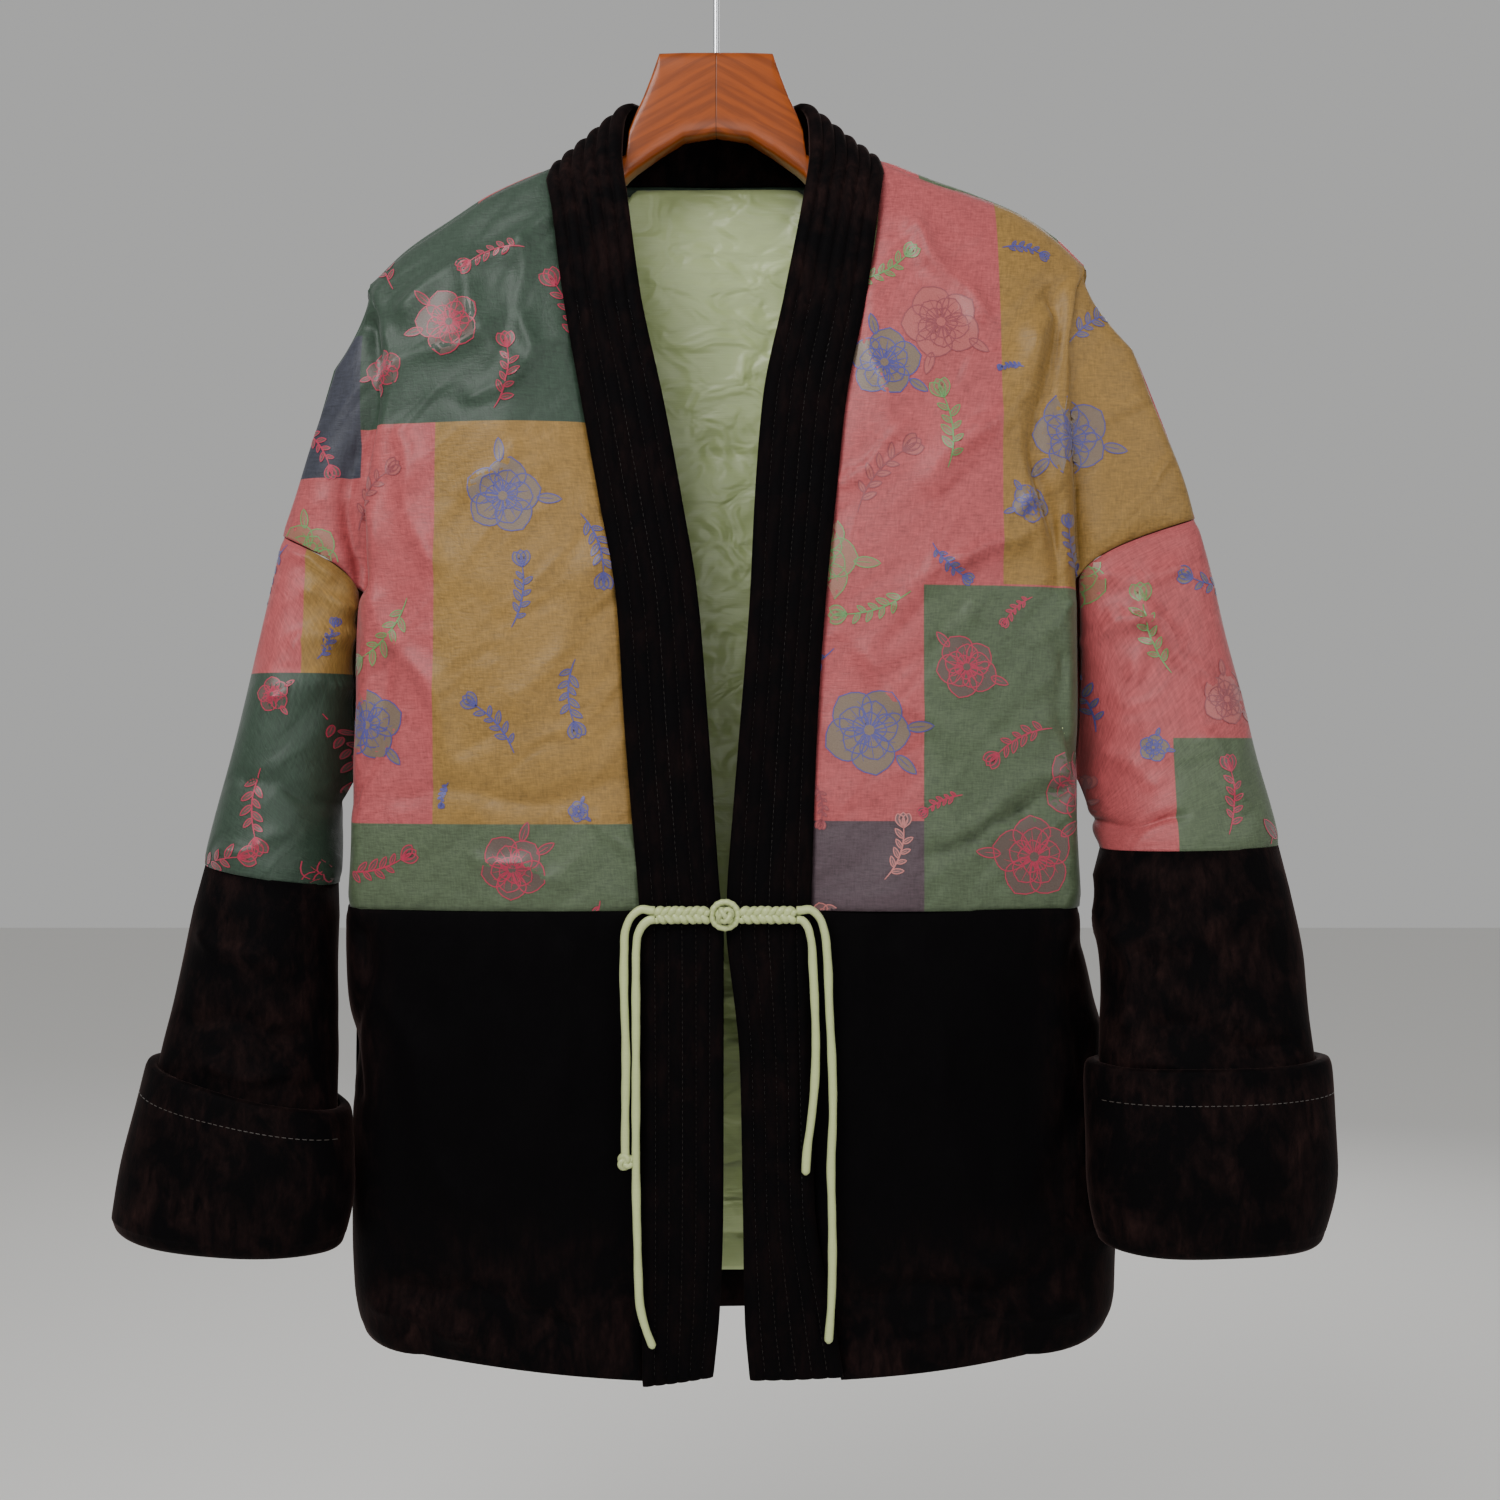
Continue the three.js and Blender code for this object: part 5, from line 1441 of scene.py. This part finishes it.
def back():
    """Each side's rows suit its own armhole, and become the same rows towards the middle."""
    upper, lower = [], []
    common = (back_rows(LEFT) + back_rows(RIGHT)) / 2
    for side in SIDES:
        rows = back_rows(side)
        inside = np.linspace(0, 1, 61)
        columns = np.concatenate((inside, ROUND))
        outer = (inside[inside * BACK_COLUMNS >= NECK_COLUMNS - 1e-6] * BACK_COLUMNS
                 - NECK_COLUMNS) / CHEST_STEPS
        over_columns = np.concatenate((outer, ROUND))
        upper += [
            net(side, np.stack([
                back_silk(side, [c], lerp(common, rows, clamp(c / 0.6)))[:, 0] for c in columns
            ], 1), turned=True),
            net(side, back_over(side, over_columns, np.linspace(0, 1, 7)), turned=True),
            net(side, back_cap(side, np.concatenate((np.linspace(-1, 0, 6), CAP_COLUMNS[1:])),
                               CAP_ROWS)),
        ]
        grid = skirt(side, BACK, columns, SKIRT_ROWS, lambda z: 0 * z)
        lower.append(net(side, grid, turned=True))
    wall("back_silk_cloth", Sheet(*upper), CLOTH, [SILKS["back"], LINING_SATIN],
         padding(1.0, 26, SILK_FOLDS["back"]), node="back_silk")
    wall("back_velvet_cloth", Sheet(*lower), CLOTH, [VELVET, LINING_SATIN],
         padding(1.4, 32, VELVET_FOLDS["back"]), node="back_velvet")

# %% [markdown]
# ### Sleeves
# A sleeve is a stack of rings. Its first ring is drawn a little towards the next one, so a hairline
# is left for the armhole seam.

# %% Sleeves


def sleeve(side, silk_cloth):
    """The silk tube, the velvet tube below it and the cuff."""
    loop = armhole_loop(side, ANGLES)
    end = np.arange(RING + 1) % RING

    def tube(low, high, count, pull):
        stations = np.concatenate(([low], np.linspace(low + SEAM_STATION, high, count - 1)))
        rings = np.stack([sleeve_ring(side, loop, ANGLES, q) for q in stations])[:, end]
        step = rings[1] - rings[0]
        share = np.minimum(0.5, pull / np.maximum(np.linalg.norm(step, axis=1), 1e-6))
        rings[0] += step * share[:, None]
        around = np.broadcast_to(np.arange(RING + 1) * RING_PITCH, rings.shape[:2])
        down = np.broadcast_to(-stations[:, None] * STATION, rings.shape[:2])
        return Sheet(net(side, rings, np.stack([around, down], -1), turned=True))

    wall(f"sleeve_{side.name}_silk_cloth", tube(0, 3, 72, 1.5), CLOTH,
         [silk_cloth, LINING_SATIN], padding(1.0, 22, SILK_FOLDS[f"sleeve_{side.name}"]),
         node=f"sleeve_{side.name}_silk")
    wall(f"sleeve_{side.name}_velvet_cloth", tube(3, 7, 72, 0.3), CLOTH,
         [SLEEVE_VELVET, LINING_SATIN], padding(1.3, 25, VELVET_FOLDS[f"sleeve_{side.name}"]),
         node=f"sleeve_{side.name}_velvet")
    cuff(side, loop, end)

# %% [markdown]
# ### Cuffs
# The turned-back end is a closed profile swept round the sleeve. Then all the panels are made.

# %% Cuffs
CUFF = 8.0
ROLL = 7.0
PROFILE_PITCH = 9


def cuff(side, loop, end):
    """The turned-back end: a closed profile of station, distance out and drop, swept round."""
    profile = [
        (5, 0.6, 0), (5, 4, -1.2), (5, CUFF - 1, -0.5), (5.06, CUFF + 0.6, 0),
        (5.3, CUFF + 1.2, 0), (6, CUFF + 1.6, 0), (6.6, CUFF + 1.4, 0), (7, CUFF + 0.8, -2),
        (7, CUFF - 1.5, ROLL - 3), (7, 2, ROLL), (7, -3, ROLL - 1), (7, 1 - CLOTH, ROLL - 4),
        (7, 1 - CLOTH, 0.6), (7, 0.6, 0.6), (6.5, 0.6, 0), (6, 0.6, 0), (5.5, 0.6, 0),
        (5, 0.6, 0),
    ]
    n = np.arange(len(profile))
    q_of, out_of, drop_of = (along(n, column) for column in zip(*profile))
    at = np.linspace(0, len(profile) - 1, 100)
    rings = np.stack([
        sleeve_ring(side, loop, ANGLES, float(q_of(t)), float(out_of(t)), float(drop_of(t)))
        for t in at
    ])[:, end]
    rings[-1] = rings[0]
    around = np.broadcast_to(np.arange(RING + 1) * RING_PITCH, rings.shape[:2])
    down = np.broadcast_to(at[:, None] * PROFILE_PITCH, rings.shape[:2])
    sheet = Sheet(net(side, rings, np.stack([around, down], -1), turned=True))
    points = sheet.points + sheet.normals * waves(sheet.points, 0.9, 20)[:, None]
    obj = finish_mesh(f"cuff_{side.name}_cloth", points, sheet.quads.tolist(),
                      sheet.corner_uv.reshape(-1, 2) / 1000, [SLEEVE_VELVET])
    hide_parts(f"cuff_{side.name}")


for side in SIDES:
    front(side, SILKS[f"front_{side.name}"])
    sleeve(side, SILKS[f"sleeve_{side.name}"])
back()

# %% [markdown]
# ## Band
# Six stitched channels run its whole length. Each is a rounded rib, highest over the shoulders.

# %% Band
CHANNELS = 6


def band(side):
    """A rib is |sin|^0.6 across each channel, so its seams are narrow."""
    stations = np.concatenate((np.linspace(0, 10, 150), np.linspace(10, 19, 110)[1:]))
    u = np.linspace(0, 1, CHANNELS * 9 + 1)
    grid = band_net(side, u, stations)
    uu, qq = mesh_of(u, stations)
    cloth_net = net(side, grid, turned=True)
    sheet = Sheet(cloth_net)
    _, index = np.unique(np.round(cloth_net[0].reshape(-1, 3), 2), axis=0, return_index=True)
    across = uu.ravel()[index]
    station = qq.ravel()[index]
    rib = np.abs(np.sin(CHANNELS * math.pi * across)) ** 0.6
    height = lerp(1.3, 2.4, ease(clamp((station - 9) / 3)))

    def relief(sheet):
        return height * (rib - 1.0) + 0.4 + waves(sheet.points, 0.4, 17)

    wall(f"band_{side.name}_cloth", sheet, BAND, [RIBBED], relief, dip=0.8,
         node=f"band_{side.name}")


for side in SIDES:
    band(side)

# %% [markdown]
# ## Lining
# The satin inside the back shows between the fronts. Quilting seams cross it, and the cloth
# between them crumples, most beside a seam. A dark velvet facing finishes it above the hem.

# %% Lining
LINING_END = -872.0
LINING_WIDE = 0.6
CRUMPLES = 26
FACING_ROWS = 8
QUILT_SEAMS = (-331.0, -512.0, -707.0, -848.0)
HEM_INSIDE = -897.0

# %% [markdown]
# ### How the lining crumples
# Each quilting seam is a narrow groove with puckers beside it. Soft ridges at many angles lie in
# between.

# %% Lining relief


def lining_relief(sheet):
    """Quilting grooves, puckers beside them and soft ridges at many angles."""
    x, y, z = sheet.points.T
    lift = waves(sheet.points, 1.3, 12)
    for k, seam in enumerate(QUILT_SEAMS):
        wander = seam + 1.2 * np.sin(x / 17 + k)
        off = z - wander
        lift += 1.5 * (1 - np.exp(-((off / 14) ** 2))) - 1.5 - 1.4 * np.exp(-((off / 1.6) ** 2))
        pucker = np.sin(x / 3.3 + 1.4 * np.sin(x / 11 + k) + off * 0.09)
        lift += 0.55 * pucker * np.exp(-((off / 11) ** 2))
    for k in range(CRUMPLES):
        at = (57 * math.sin(k * 12.9), -210 - 25.5 * k + 9 * math.sin(k * 5.3))
        way = 0.5 * math.sin(k * 3.7)
        dx, dz = x - at[0], z - at[1]
        along_it = dx * math.cos(way) + dz * math.sin(way)
        across_it = -dx * math.sin(way) + dz * math.cos(way)
        lift += 1.6 * np.exp(-((along_it / 24) ** 2) - (across_it / 3.2) ** 2)
    return lift + 3.0

# %% [markdown]
# ### Lining and facing
# Both lie just inside the back, clear of its inner face.

# %% Lining and facing
lining_nets = []
facing_nets = []
for side in SIDES:
    c = np.linspace(0, LINING_WIDE, 60)
    start = 0.012 + 0.15 * ease(clamp((c - 0.16) / 0.12))
    upper = np.stack([
        back_silk(side, [column], np.linspace(low, 1, 150))[:, 0]
        for column, low in zip(c, start)
    ], 1)
    lower = skirt(side, BACK, c, np.linspace(0, 1, 110), lambda z: 0 * z, LINING_END + GAP / 2)
    lining_nets.append(net(side, np.concatenate((upper[:-1], lower))))
    last = skirt(side, BACK, c, [1.0], lambda z: 0 * z)[0]
    strip = np.stack([last] * FACING_ROWS)
    strip[..., 2] = np.linspace(LINING_END - GAP / 2, HEM_INSIDE, FACING_ROWS)[:, None]
    facing_nets.append(net(side, strip))


def inner_layer(name, nets, material, relief, node):
    sheet = Sheet(*nets)
    sheet.points = sheet.points + sheet.normals * (CLOTH + EDGE_GAP + 0.5 + LINING)
    return wall(name, sheet, LINING, [material], relief, dip=0.3, node=node)


inner_layer("back_lining_satin", lining_nets, LINING_SATIN, lining_relief, "back_lining")
inner_layer("back_hem_facing_cloth", facing_nets, VELVET,
            lambda sheet: waves(sheet.points, 0.5, 16), "back_hem_facing")

# %% [markdown]
# ## Hanger
# Lacquered wood in two book-matched halves, with a polished wire hook set into the block.

# %% Hanger
HANGER = [  # distance from the middle, top, lower edge, half thickness; None follows the ridge
    (0, -85, -136.5, 9), (20, -85, -139.5, 9), (36, -85.5, -149.5, 9), (41, -100, -153, 9),
    (46, -113, -156.5, 9), (51, -124, -160, 9), (55, -134, -163.5, 9), (57, -150, -165.5, 9),
    (76, -159, -181, 9.2), (95, -164, -189, 9.5), (110, None, None, 9.5),
    (150, None, None, 9.5), (190, None, None, 9.5), (205, None, None, 8), (209, None, None, 6),
]
ARM_DEPTH = 21.0
SHOULDER_SINK = 7.6
HOOK_WIRE = 4.0
HOOK_INNER = 20.0
HOOK_SHANK = -99.0
WOOD_SIDES = 48

# %% [markdown]
# ### Shaping the wood
# The section is a superellipse whose corners are sharp at the block and round along the arms. The
# wire is a circle swept up the shank and round the hook.

# %% Shaping the wood


def hanger_section(side, row):
    """One row of the table on its side: the arms follow the shoulder's ridge."""
    x, top, foot, half = row
    over = top is None
    if over:
        x += (side.tip[0] - 218) * (x - 110) / 103
    ridge = float(side.ridge(x)) - SHOULDER_SINK
    top = ridge if over else min(top, ridge if x > 90 else 0)
    foot = ridge - ARM_DEPTH if over else foot
    corner = 0.9 if row[0] > 60 else 0.35
    return x, top, foot, half, corner


def hanger_half(side):
    """Rings of a superellipse from the middle to the end of one arm."""
    rows = [hanger_section(side, row) for row in HANGER]
    at, top, foot, half, corner = (np.array(column, float) for column in zip(*rows))
    x = np.unique(np.concatenate((at, np.linspace(0, at[-1], 90))))
    top, foot, half, corner = (np.interp(x, at, v) for v in (top, foot, half, corner))
    angle = np.linspace(0, TURN, WOOD_SIDES + 1)[:-1]
    cos, sin = np.cos(angle), np.sin(angle)
    power = corner[:, None]
    y = half[:, None] * np.sign(cos) * np.abs(cos) ** power
    z = ((top + foot) / 2)[:, None] + ((top - foot) / 2)[:, None] * (
        np.sign(sin) * np.abs(sin) ** power)
    return np.stack([np.broadcast_to(side.sign * x[:, None], y.shape), y, z], -1)


rings = np.concatenate((hanger_half(LEFT)[:0:-1], hanger_half(RIGHT)))
count = len(rings)
wood_faces = [
    [i * WOOD_SIDES + k, (i + 1) * WOOD_SIDES + k, (i + 1) * WOOD_SIDES + (k + 1) % WOOD_SIDES,
     i * WOOD_SIDES + (k + 1) % WOOD_SIDES]
    for i in range(count - 1) for k in range(WOOD_SIDES)
]
wood_faces.append(list(range(WOOD_SIDES)))
wood_faces.append([(count - 1) * WOOD_SIDES + k for k in reversed(range(WOOD_SIDES))])
joined("hanger_wood_lacquered", [(rings.reshape(-1, 3), wood_faces)], lacquered_wood(),
       node="hanger_wood")
radius = HOOK_INNER + HOOK_WIRE / 2
angle = np.linspace(-math.pi / 2, math.pi * 1.06, 120)
arc = np.stack([radius * np.cos(angle), 0 * angle, -HOOK_INNER + radius * np.sin(angle)], 1)
shank = np.stack([[0, 0, z] for z in np.linspace(HOOK_SHANK, -46, 20)])
joined("hanger_hook_wire", [swept(np.concatenate((shank, arc)), HOOK_WIRE, HOOK_WIRE, 20)],
       polished_wire(), node="hanger_hook")
print("hanger", round(float(np.ptp(rings[..., 0])), 1), "mm wide")

# %% [markdown]
# ## Woven flowers
# Plain blossoms, leaves and budding sprigs are drawn from petal formulas as thin ribbons and
# fills, and laid on each panel's face a fraction of a millimetre proud, as floats of coloured
# thread lie on a brocade. A seeded draw sets them out on a half-drop lattice, the commonest
# repeat in woven silk, and each takes its thread from the block under it.

# %% Drawing


class Art:
    """Ribbons and fills in the plane of x and z, each with a tone and a height."""

    def __init__(self, seed):
        self.parts = []
        self.random = np.random.default_rng(seed)

    def stroke(self, points, width, tone, height=0.32, taper=0.35):
        points = np.asarray(points, float)
        d = np.gradient(points, axis=0)
        d /= np.maximum(np.linalg.norm(d, axis=1), 1e-9)[:, None]
        n = np.stack([-d[:, 1], d[:, 0]], 1)
        t = np.linspace(0, 1, len(points))
        w = width / 2 * lerp(taper, 1.0, np.sin(math.pi * t) ** 0.5)
        grid = np.stack([points + n * w[:, None], points - n * w[:, None]], 1)
        self.parts.append((grid, tone, height))

    def fill(self, outline, tone, height=0.18, rings=4):
        outline = np.asarray(outline, float)
        centre = outline.mean(0)
        s = np.linspace(0, 1, rings)[None, :, None]
        self.parts.append((centre + s * (outline[:, None] - centre), tone + "_fill", height))

    def petal(self, x, z, angle, length, width, tone, veins=2, height=0.2, tip=1.25):
        """Half its width is sin(pi t^tip)^0.7, so a tip over 1 puts the widest part far out."""
        t = np.linspace(0, 1, 10)
        half = width / 2 * np.sin(math.pi * t**tip) ** 0.7
        axis = np.array([math.cos(angle), math.sin(angle)])
        side = np.array([-axis[1], axis[0]])
        spine = np.array([x, z]) + t[:, None] * length * axis
        outline = np.concatenate(
            (spine + half[:, None] * side, (spine - half[:, None] * side)[-2::-1])
        )
        self.fill(outline, tone, height)
        self.stroke(outline, 0.7, tone, height + 0.12, taper=1.0)
        for k in range(veins):
            share = (k + 1) / (veins + 1) * 2 - 1
            self.stroke((spine + (half * share)[:, None] * side)[:7], 0.45, tone, height + 0.12)

    def blossom(self, x, z, r, tone):
        """Rings of five round petals, each ring over the last, round a knob."""
        for k, scale in enumerate((1.0, 0.7, 0.42) if r > 14 else (1.0, 0.55)):
            turn = self.random.uniform(0, TURN)
            for i in range(5):
                angle = turn + TURN * i / 5 + self.random.uniform(-0.1, 0.1)
                length = r * scale * self.random.uniform(0.9, 1.05)
                self.petal(x, z, angle, length, length * 0.95, tone, 3 - k, 0.18 + 0.04 * k)
        ring = np.linspace(0, TURN, 9)
        knob = np.stack([x + 0.12 * r * np.cos(ring), z + 0.12 * r * np.sin(ring)], 1)
        self.fill(knob, tone, 0.42, 2)

    def leaf(self, x, z, angle, length, tone):
        self.petal(x, z, angle, length, length * 0.4, tone, 1, tip=0.85)

    def sprig(self, x, z, angle, size, tone):
        """An arched stem with leaves on both sides, a bud at its tip and one beside it."""
        bend = self.random.choice((-1, 1)) * self.random.uniform(0.5, 0.9)
        t = np.linspace(0, 1, 12)
        way = angle + bend * (t - 0.5)
        step = np.stack([np.cos(way), np.sin(way)], 1) * size * 2 / len(t)
        line = np.array([x, z]) + np.cumsum(step, axis=0) - step.sum(0) / 2
        self.stroke(line, 1.0, tone, 0.28, taper=0.5)
        for k in range(2, 10):
            lean = 0.85 if k % 2 else -0.85
            reach = size * self.random.uniform(0.28, 0.42)
            self.leaf(*line[k], way[k] + lean, reach, tone)
        for turn in (-0.4, 0.4, 0.0):
            self.petal(*line[-1], way[-1] + turn, size * 0.5, size * 0.28, tone, 1)

# %% [markdown]
# ### Threads
# An outline and its fill have tones of their own, with a fine strand.

# %% Threads


def thread(name, color, roughness=0.4):
    """Coloured silk thread with a fine strand."""
    cloth = Cloth(f"thread_{name}", color, roughness, Sheen_Weight=0.25)
    x, y, z = cloth.place()
    strand = cloth.noise((x / 1.0, y / 1.0, z / 0.7), 2.0, 0.6)
    cloth.set("Base Color", cloth.scaled(color, 0.72 + strand * 0.5))
    cloth.set("Roughness", roughness - 0.1 + strand * 0.2)
    cloth.bump(strand, 0.4, 0.25)
    return cloth.material


THREADS = {
    name: thread(name, linear(*rgb)) for name, rgb in {
        "violet": (64, 60, 128), "violet_fill": (106, 88, 72), "red": (158, 26, 60),
        "red_fill": (78, 62, 54), "green": (86, 134, 72), "green_fill": (136, 88, 70),
        "rose": (128, 54, 62), "rose_fill": (156, 76, 74), "pale": (176, 104, 100),
        "pale_fill": (98, 70, 72), "stitch": (56, 49, 43),
    }.items()
}

# %% [markdown]
# ### Laying the drawing on the cloth
# Each point is cast onto the panel and lifted a little along its normal. Faces that would miss
# the cloth, meet it edge on or bridge a step are left out.

# %% Laying
MAX_STEP = 5.0
FACING_LEAST = 0.12


def lay(art, name, panel, way):
    """Casts every point onto the panel from the front (-1) or from behind (1)."""
    mesh = panel.data
    points = np.empty(len(mesh.vertices) * 3)
    mesh.vertices.foreach_get("co", points)
    points = points.reshape(-1, 3) * 1000
    tree = BVHTree.FromPolygons(points.tolist(), [tuple(p.vertices) for p in mesh.polygons])
    toward = Vector((0, -way, 0))
    out, faces, slots = [], [], []
    tones = sorted({tone for _, tone, _ in art.parts})
    for grid, tone, height in art.parts:
        first = len(out)
        rows, cols = grid.shape[:2]
        held = np.ones((rows, cols), bool)
        for i in range(rows):
            for j in range(cols):
                x, z = grid[i, j]
                hit, normal, _, _ = tree.ray_cast(Vector((x, way * 400, z)), toward)
                if hit is None or normal.y * way < FACING_LEAST:
                    held[i, j] = False
                    hit = normal = Vector((0, 0, 0))
                out.append(hit + normal * height)
        for i in range(rows - 1):
            for j in range(cols - 1):
                if not held[i : i + 2, j : j + 2].all():
                    continue
                q = [(i, j), (i, j + 1), (i + 1, j + 1), (i + 1, j)]
                p = [grid[a] for a in q]
                spin = sum(p[k - 1][0] * p[k][1] - p[k][0] * p[k - 1][1] for k in range(4))
                face = [first + a * cols + b for a, b in q]
                depths = [out[k].y for k in face]
                if max(depths) - min(depths) > MAX_STEP:
                    continue
                faces.append(face if spin * -way > 0 else face[::-1])
                slots.append(tones.index(tone))
    used = sorted({k for face in faces for k in face})
    place = {k: i for i, k in enumerate(used)}
    faces = [[place[k] for k in face] for face in faces]
    obj = finish_mesh(name, [out[k] for k in used], faces, None,
                      [THREADS[tone] for tone in tones], slots)
    print(name, "faces", len(faces))

# %% [markdown]
# ### Setting the flowers out
# Lattice points jitter a little. Each flower shrinks until it stays on one block, and is left out
# where there is no room.

# %% Lattice
TONES = {GOLD: ("violet",), PINK: ("green", "rose", "violet"), TEAL: ("red",), MOSS: ("red",),
         MAUVE: ("pale",), INDIGO: ("red",)}
ACROSS = 84.0
DOWN = 74.0
JITTER = 9.0


def ground_at(cloth, x, z):
    """The colour of the block at a place."""
    ground, blocks = BLOCKS[cloth]
    for tone, f in blocks:
        if (f.get("left", -1e3) < x < f.get("right", 1e3)
                and f.get("bottom", -1e3) < z < f.get("top", 1e3)):
            ground = tone
    return ground


def room(cloth, x, z, most, least=7.0):
    """The largest size up to most that stays on one block, or nothing."""
    size = most
    ring = np.linspace(0, TURN, 9)[:-1]
    while size > least:
        if all(ground_at(cloth, x + size * math.cos(a), z + size * math.sin(a))
               == ground_at(cloth, x, z) for a in ring):
            return size
        size *= 0.85
    return None


def scatter(cloth, seed, left, right, bottom, top):
    """The half-drop lattice, with one blossom to two sprigs."""
    art = Art(seed)
    draw = art.random
    for i, x0 in enumerate(np.arange(left, right, ACROSS / 2)):
        for j, z0 in enumerate(np.arange(bottom + (i % 2) * DOWN / 2, top, DOWN)):
            x, z = x0 + draw.uniform(-JITTER, JITTER), z0 + draw.uniform(-JITTER, JITTER)
            tones = TONES[ground_at(cloth, x, z)]
            tone = tones[(i + j) % len(tones)]
            bloom = (i + 2 * j) % 3 == 0
            size = room(cloth, x, z, draw.uniform(24, 33) if bloom else draw.uniform(19, 26))
            if size is None:
                continue
            if bloom:
                art.blossom(x, z, size * 0.85, tone)
                for turn in draw.uniform(0, TURN, 2):
                    art.leaf(x + 0.7 * size * math.cos(turn), z + 0.7 * size * math.sin(turn),
                             turn, size * 0.5, tone)
            else:
                art.sprig(x, z, draw.uniform(0, TURN), size, tone)
    return art


for k, side in enumerate(SIDES):
    for part, near, far, low, high in (
        ("front", 60, 250, -630, -190), ("sleeve", 225, 360, -640, -330),
    ):
        ends = sorted((side.sign * near, side.sign * far))
        cloth = f"{part}_{side.name}"
        panel = piece(f"{cloth}_silk_cloth")
        lay(scatter(cloth, 20 + k, *ends, low, high), f"{cloth}_flowers", panel, -1)
        if part == "sleeve":
            art = scatter(cloth, 30 + k, *ends, low, high)
            lay(art, f"{cloth}_back_flowers", panel, 1)
art = scatter("back", 40, -250, 250, -630, -190)
lay(art, "back_flowers", piece("back_silk_cloth"), 1)

# %% [markdown]
# ## Stitches
# Rows of machine stitches hold the band's channels, and one row runs under each cuff's top edge.

# %% Stitches
STITCH = 2.3
PITCH = 3.6


def sewn(art, points):
    """Dashes along a line of x and z."""
    points = np.asarray(points, float)
    s = distances(points)
    for start in np.arange(1.0, s[-1] - PITCH, PITCH):
        at = np.array([start, start + STITCH / 2, start + STITCH])
        at = at + art.random.uniform(-0.2, 0.2)
        dash = np.stack([np.interp(at, s, points[:, k]) for k in (0, 1)], 1)
        art.stroke(dash, 0.4, "stitch", 0.25, taper=0.8)


for side in SIDES:
    rows = Art(50)
    grid = band_net(side, np.arange(1, CHANNELS) / CHANNELS, np.linspace(0.1, 10, 160))
    for k in range(CHANNELS - 1):
        sewn(rows, grid[:, k][:, [0, 2]] * np.array([side.sign, 1]))
    lay(rows, f"band_{side.name}_stitches", piece(f"band_{side.name}_cloth"), -1)
    loop = armhole_loop(side, ANGLES)
    for way, low, high, word in ((-1, 0.25, math.pi - 0.25, "front"),
                                 (1, math.pi + 0.25, TURN - 0.25, "back")):
        rows = Art(51)
        ring = sleeve_ring(side, loop, np.linspace(low, high, 60), 5.3, CUFF + 1.2)
        sewn(rows, ring[:, [0, 2]] * np.array([side.sign, 1]))
        cuff_cloth = piece(f"cuff_{side.name}_cloth")
        lay(rows, f"cuff_{side.name}_stitches_{word}", cuff_cloth, way)

# %% [markdown]
# ## What each cloth is
# Each wall prints the area of its outer face. The band and cuffs are stuffed.

# %% [markdown]
# ## Setting
# A plain pale floor, a pale world around it and four soft lamps.

# %% Setting
floor_mesh = bpy.data.meshes.new("floor")
floor_mesh.from_pydata([(-6, -6, 0), (6, -6, 0), (6, 6, 0), (-6, 6, 0)], [], [(0, 1, 2, 3)])
floor = bpy.data.objects.new("floor", floor_mesh)
floor.location = (0, 0, -1.25)
scene.collection.objects.link(floor)
pale = Cloth("pale_floor", (0.78, 0.77, 0.75), 0.8)
floor_mesh.materials.append(pale.material)

world = bpy.data.worlds.new("studio")
world.use_nodes = True
world.node_tree.nodes["Background"].inputs["Color"].default_value = (0.80, 0.80, 0.79, 1.0)
world.node_tree.nodes["Background"].inputs["Strength"].default_value = 0.55
scene.world = world


def lamp(name, place, target, size, power):
    """A round soft light at a place, turned to its target."""
    light = bpy.data.lights.new(name, "AREA")
    light.shape = "DISK"
    light.size = size
    light.energy = power
    obj = bpy.data.objects.new(name, light)
    obj.location = place
    toward = Vector(target) - Vector(place)
    obj.rotation_euler = toward.to_track_quat("-Z", "Y").to_euler()
    scene.collection.objects.link(obj)


lamp("key", (-0.8, -1.3, 0.75), (0.0, 0.0, -0.45), 1.2, 33)
lamp("front", (0.05, -1.7, -0.25), (0.0, 0.0, -0.5), 0.9, 6)
lamp("fill", (1.4, -1.3, 0.2), (0.0, 0.0, -0.5), 1.4, 11)
lamp("back", (0.5, 1.8, 0.3), (0.0, 0.0, -0.5), 1.6, 14)
print("lights", sum(obj.type == "LIGHT" for obj in scene.objects))
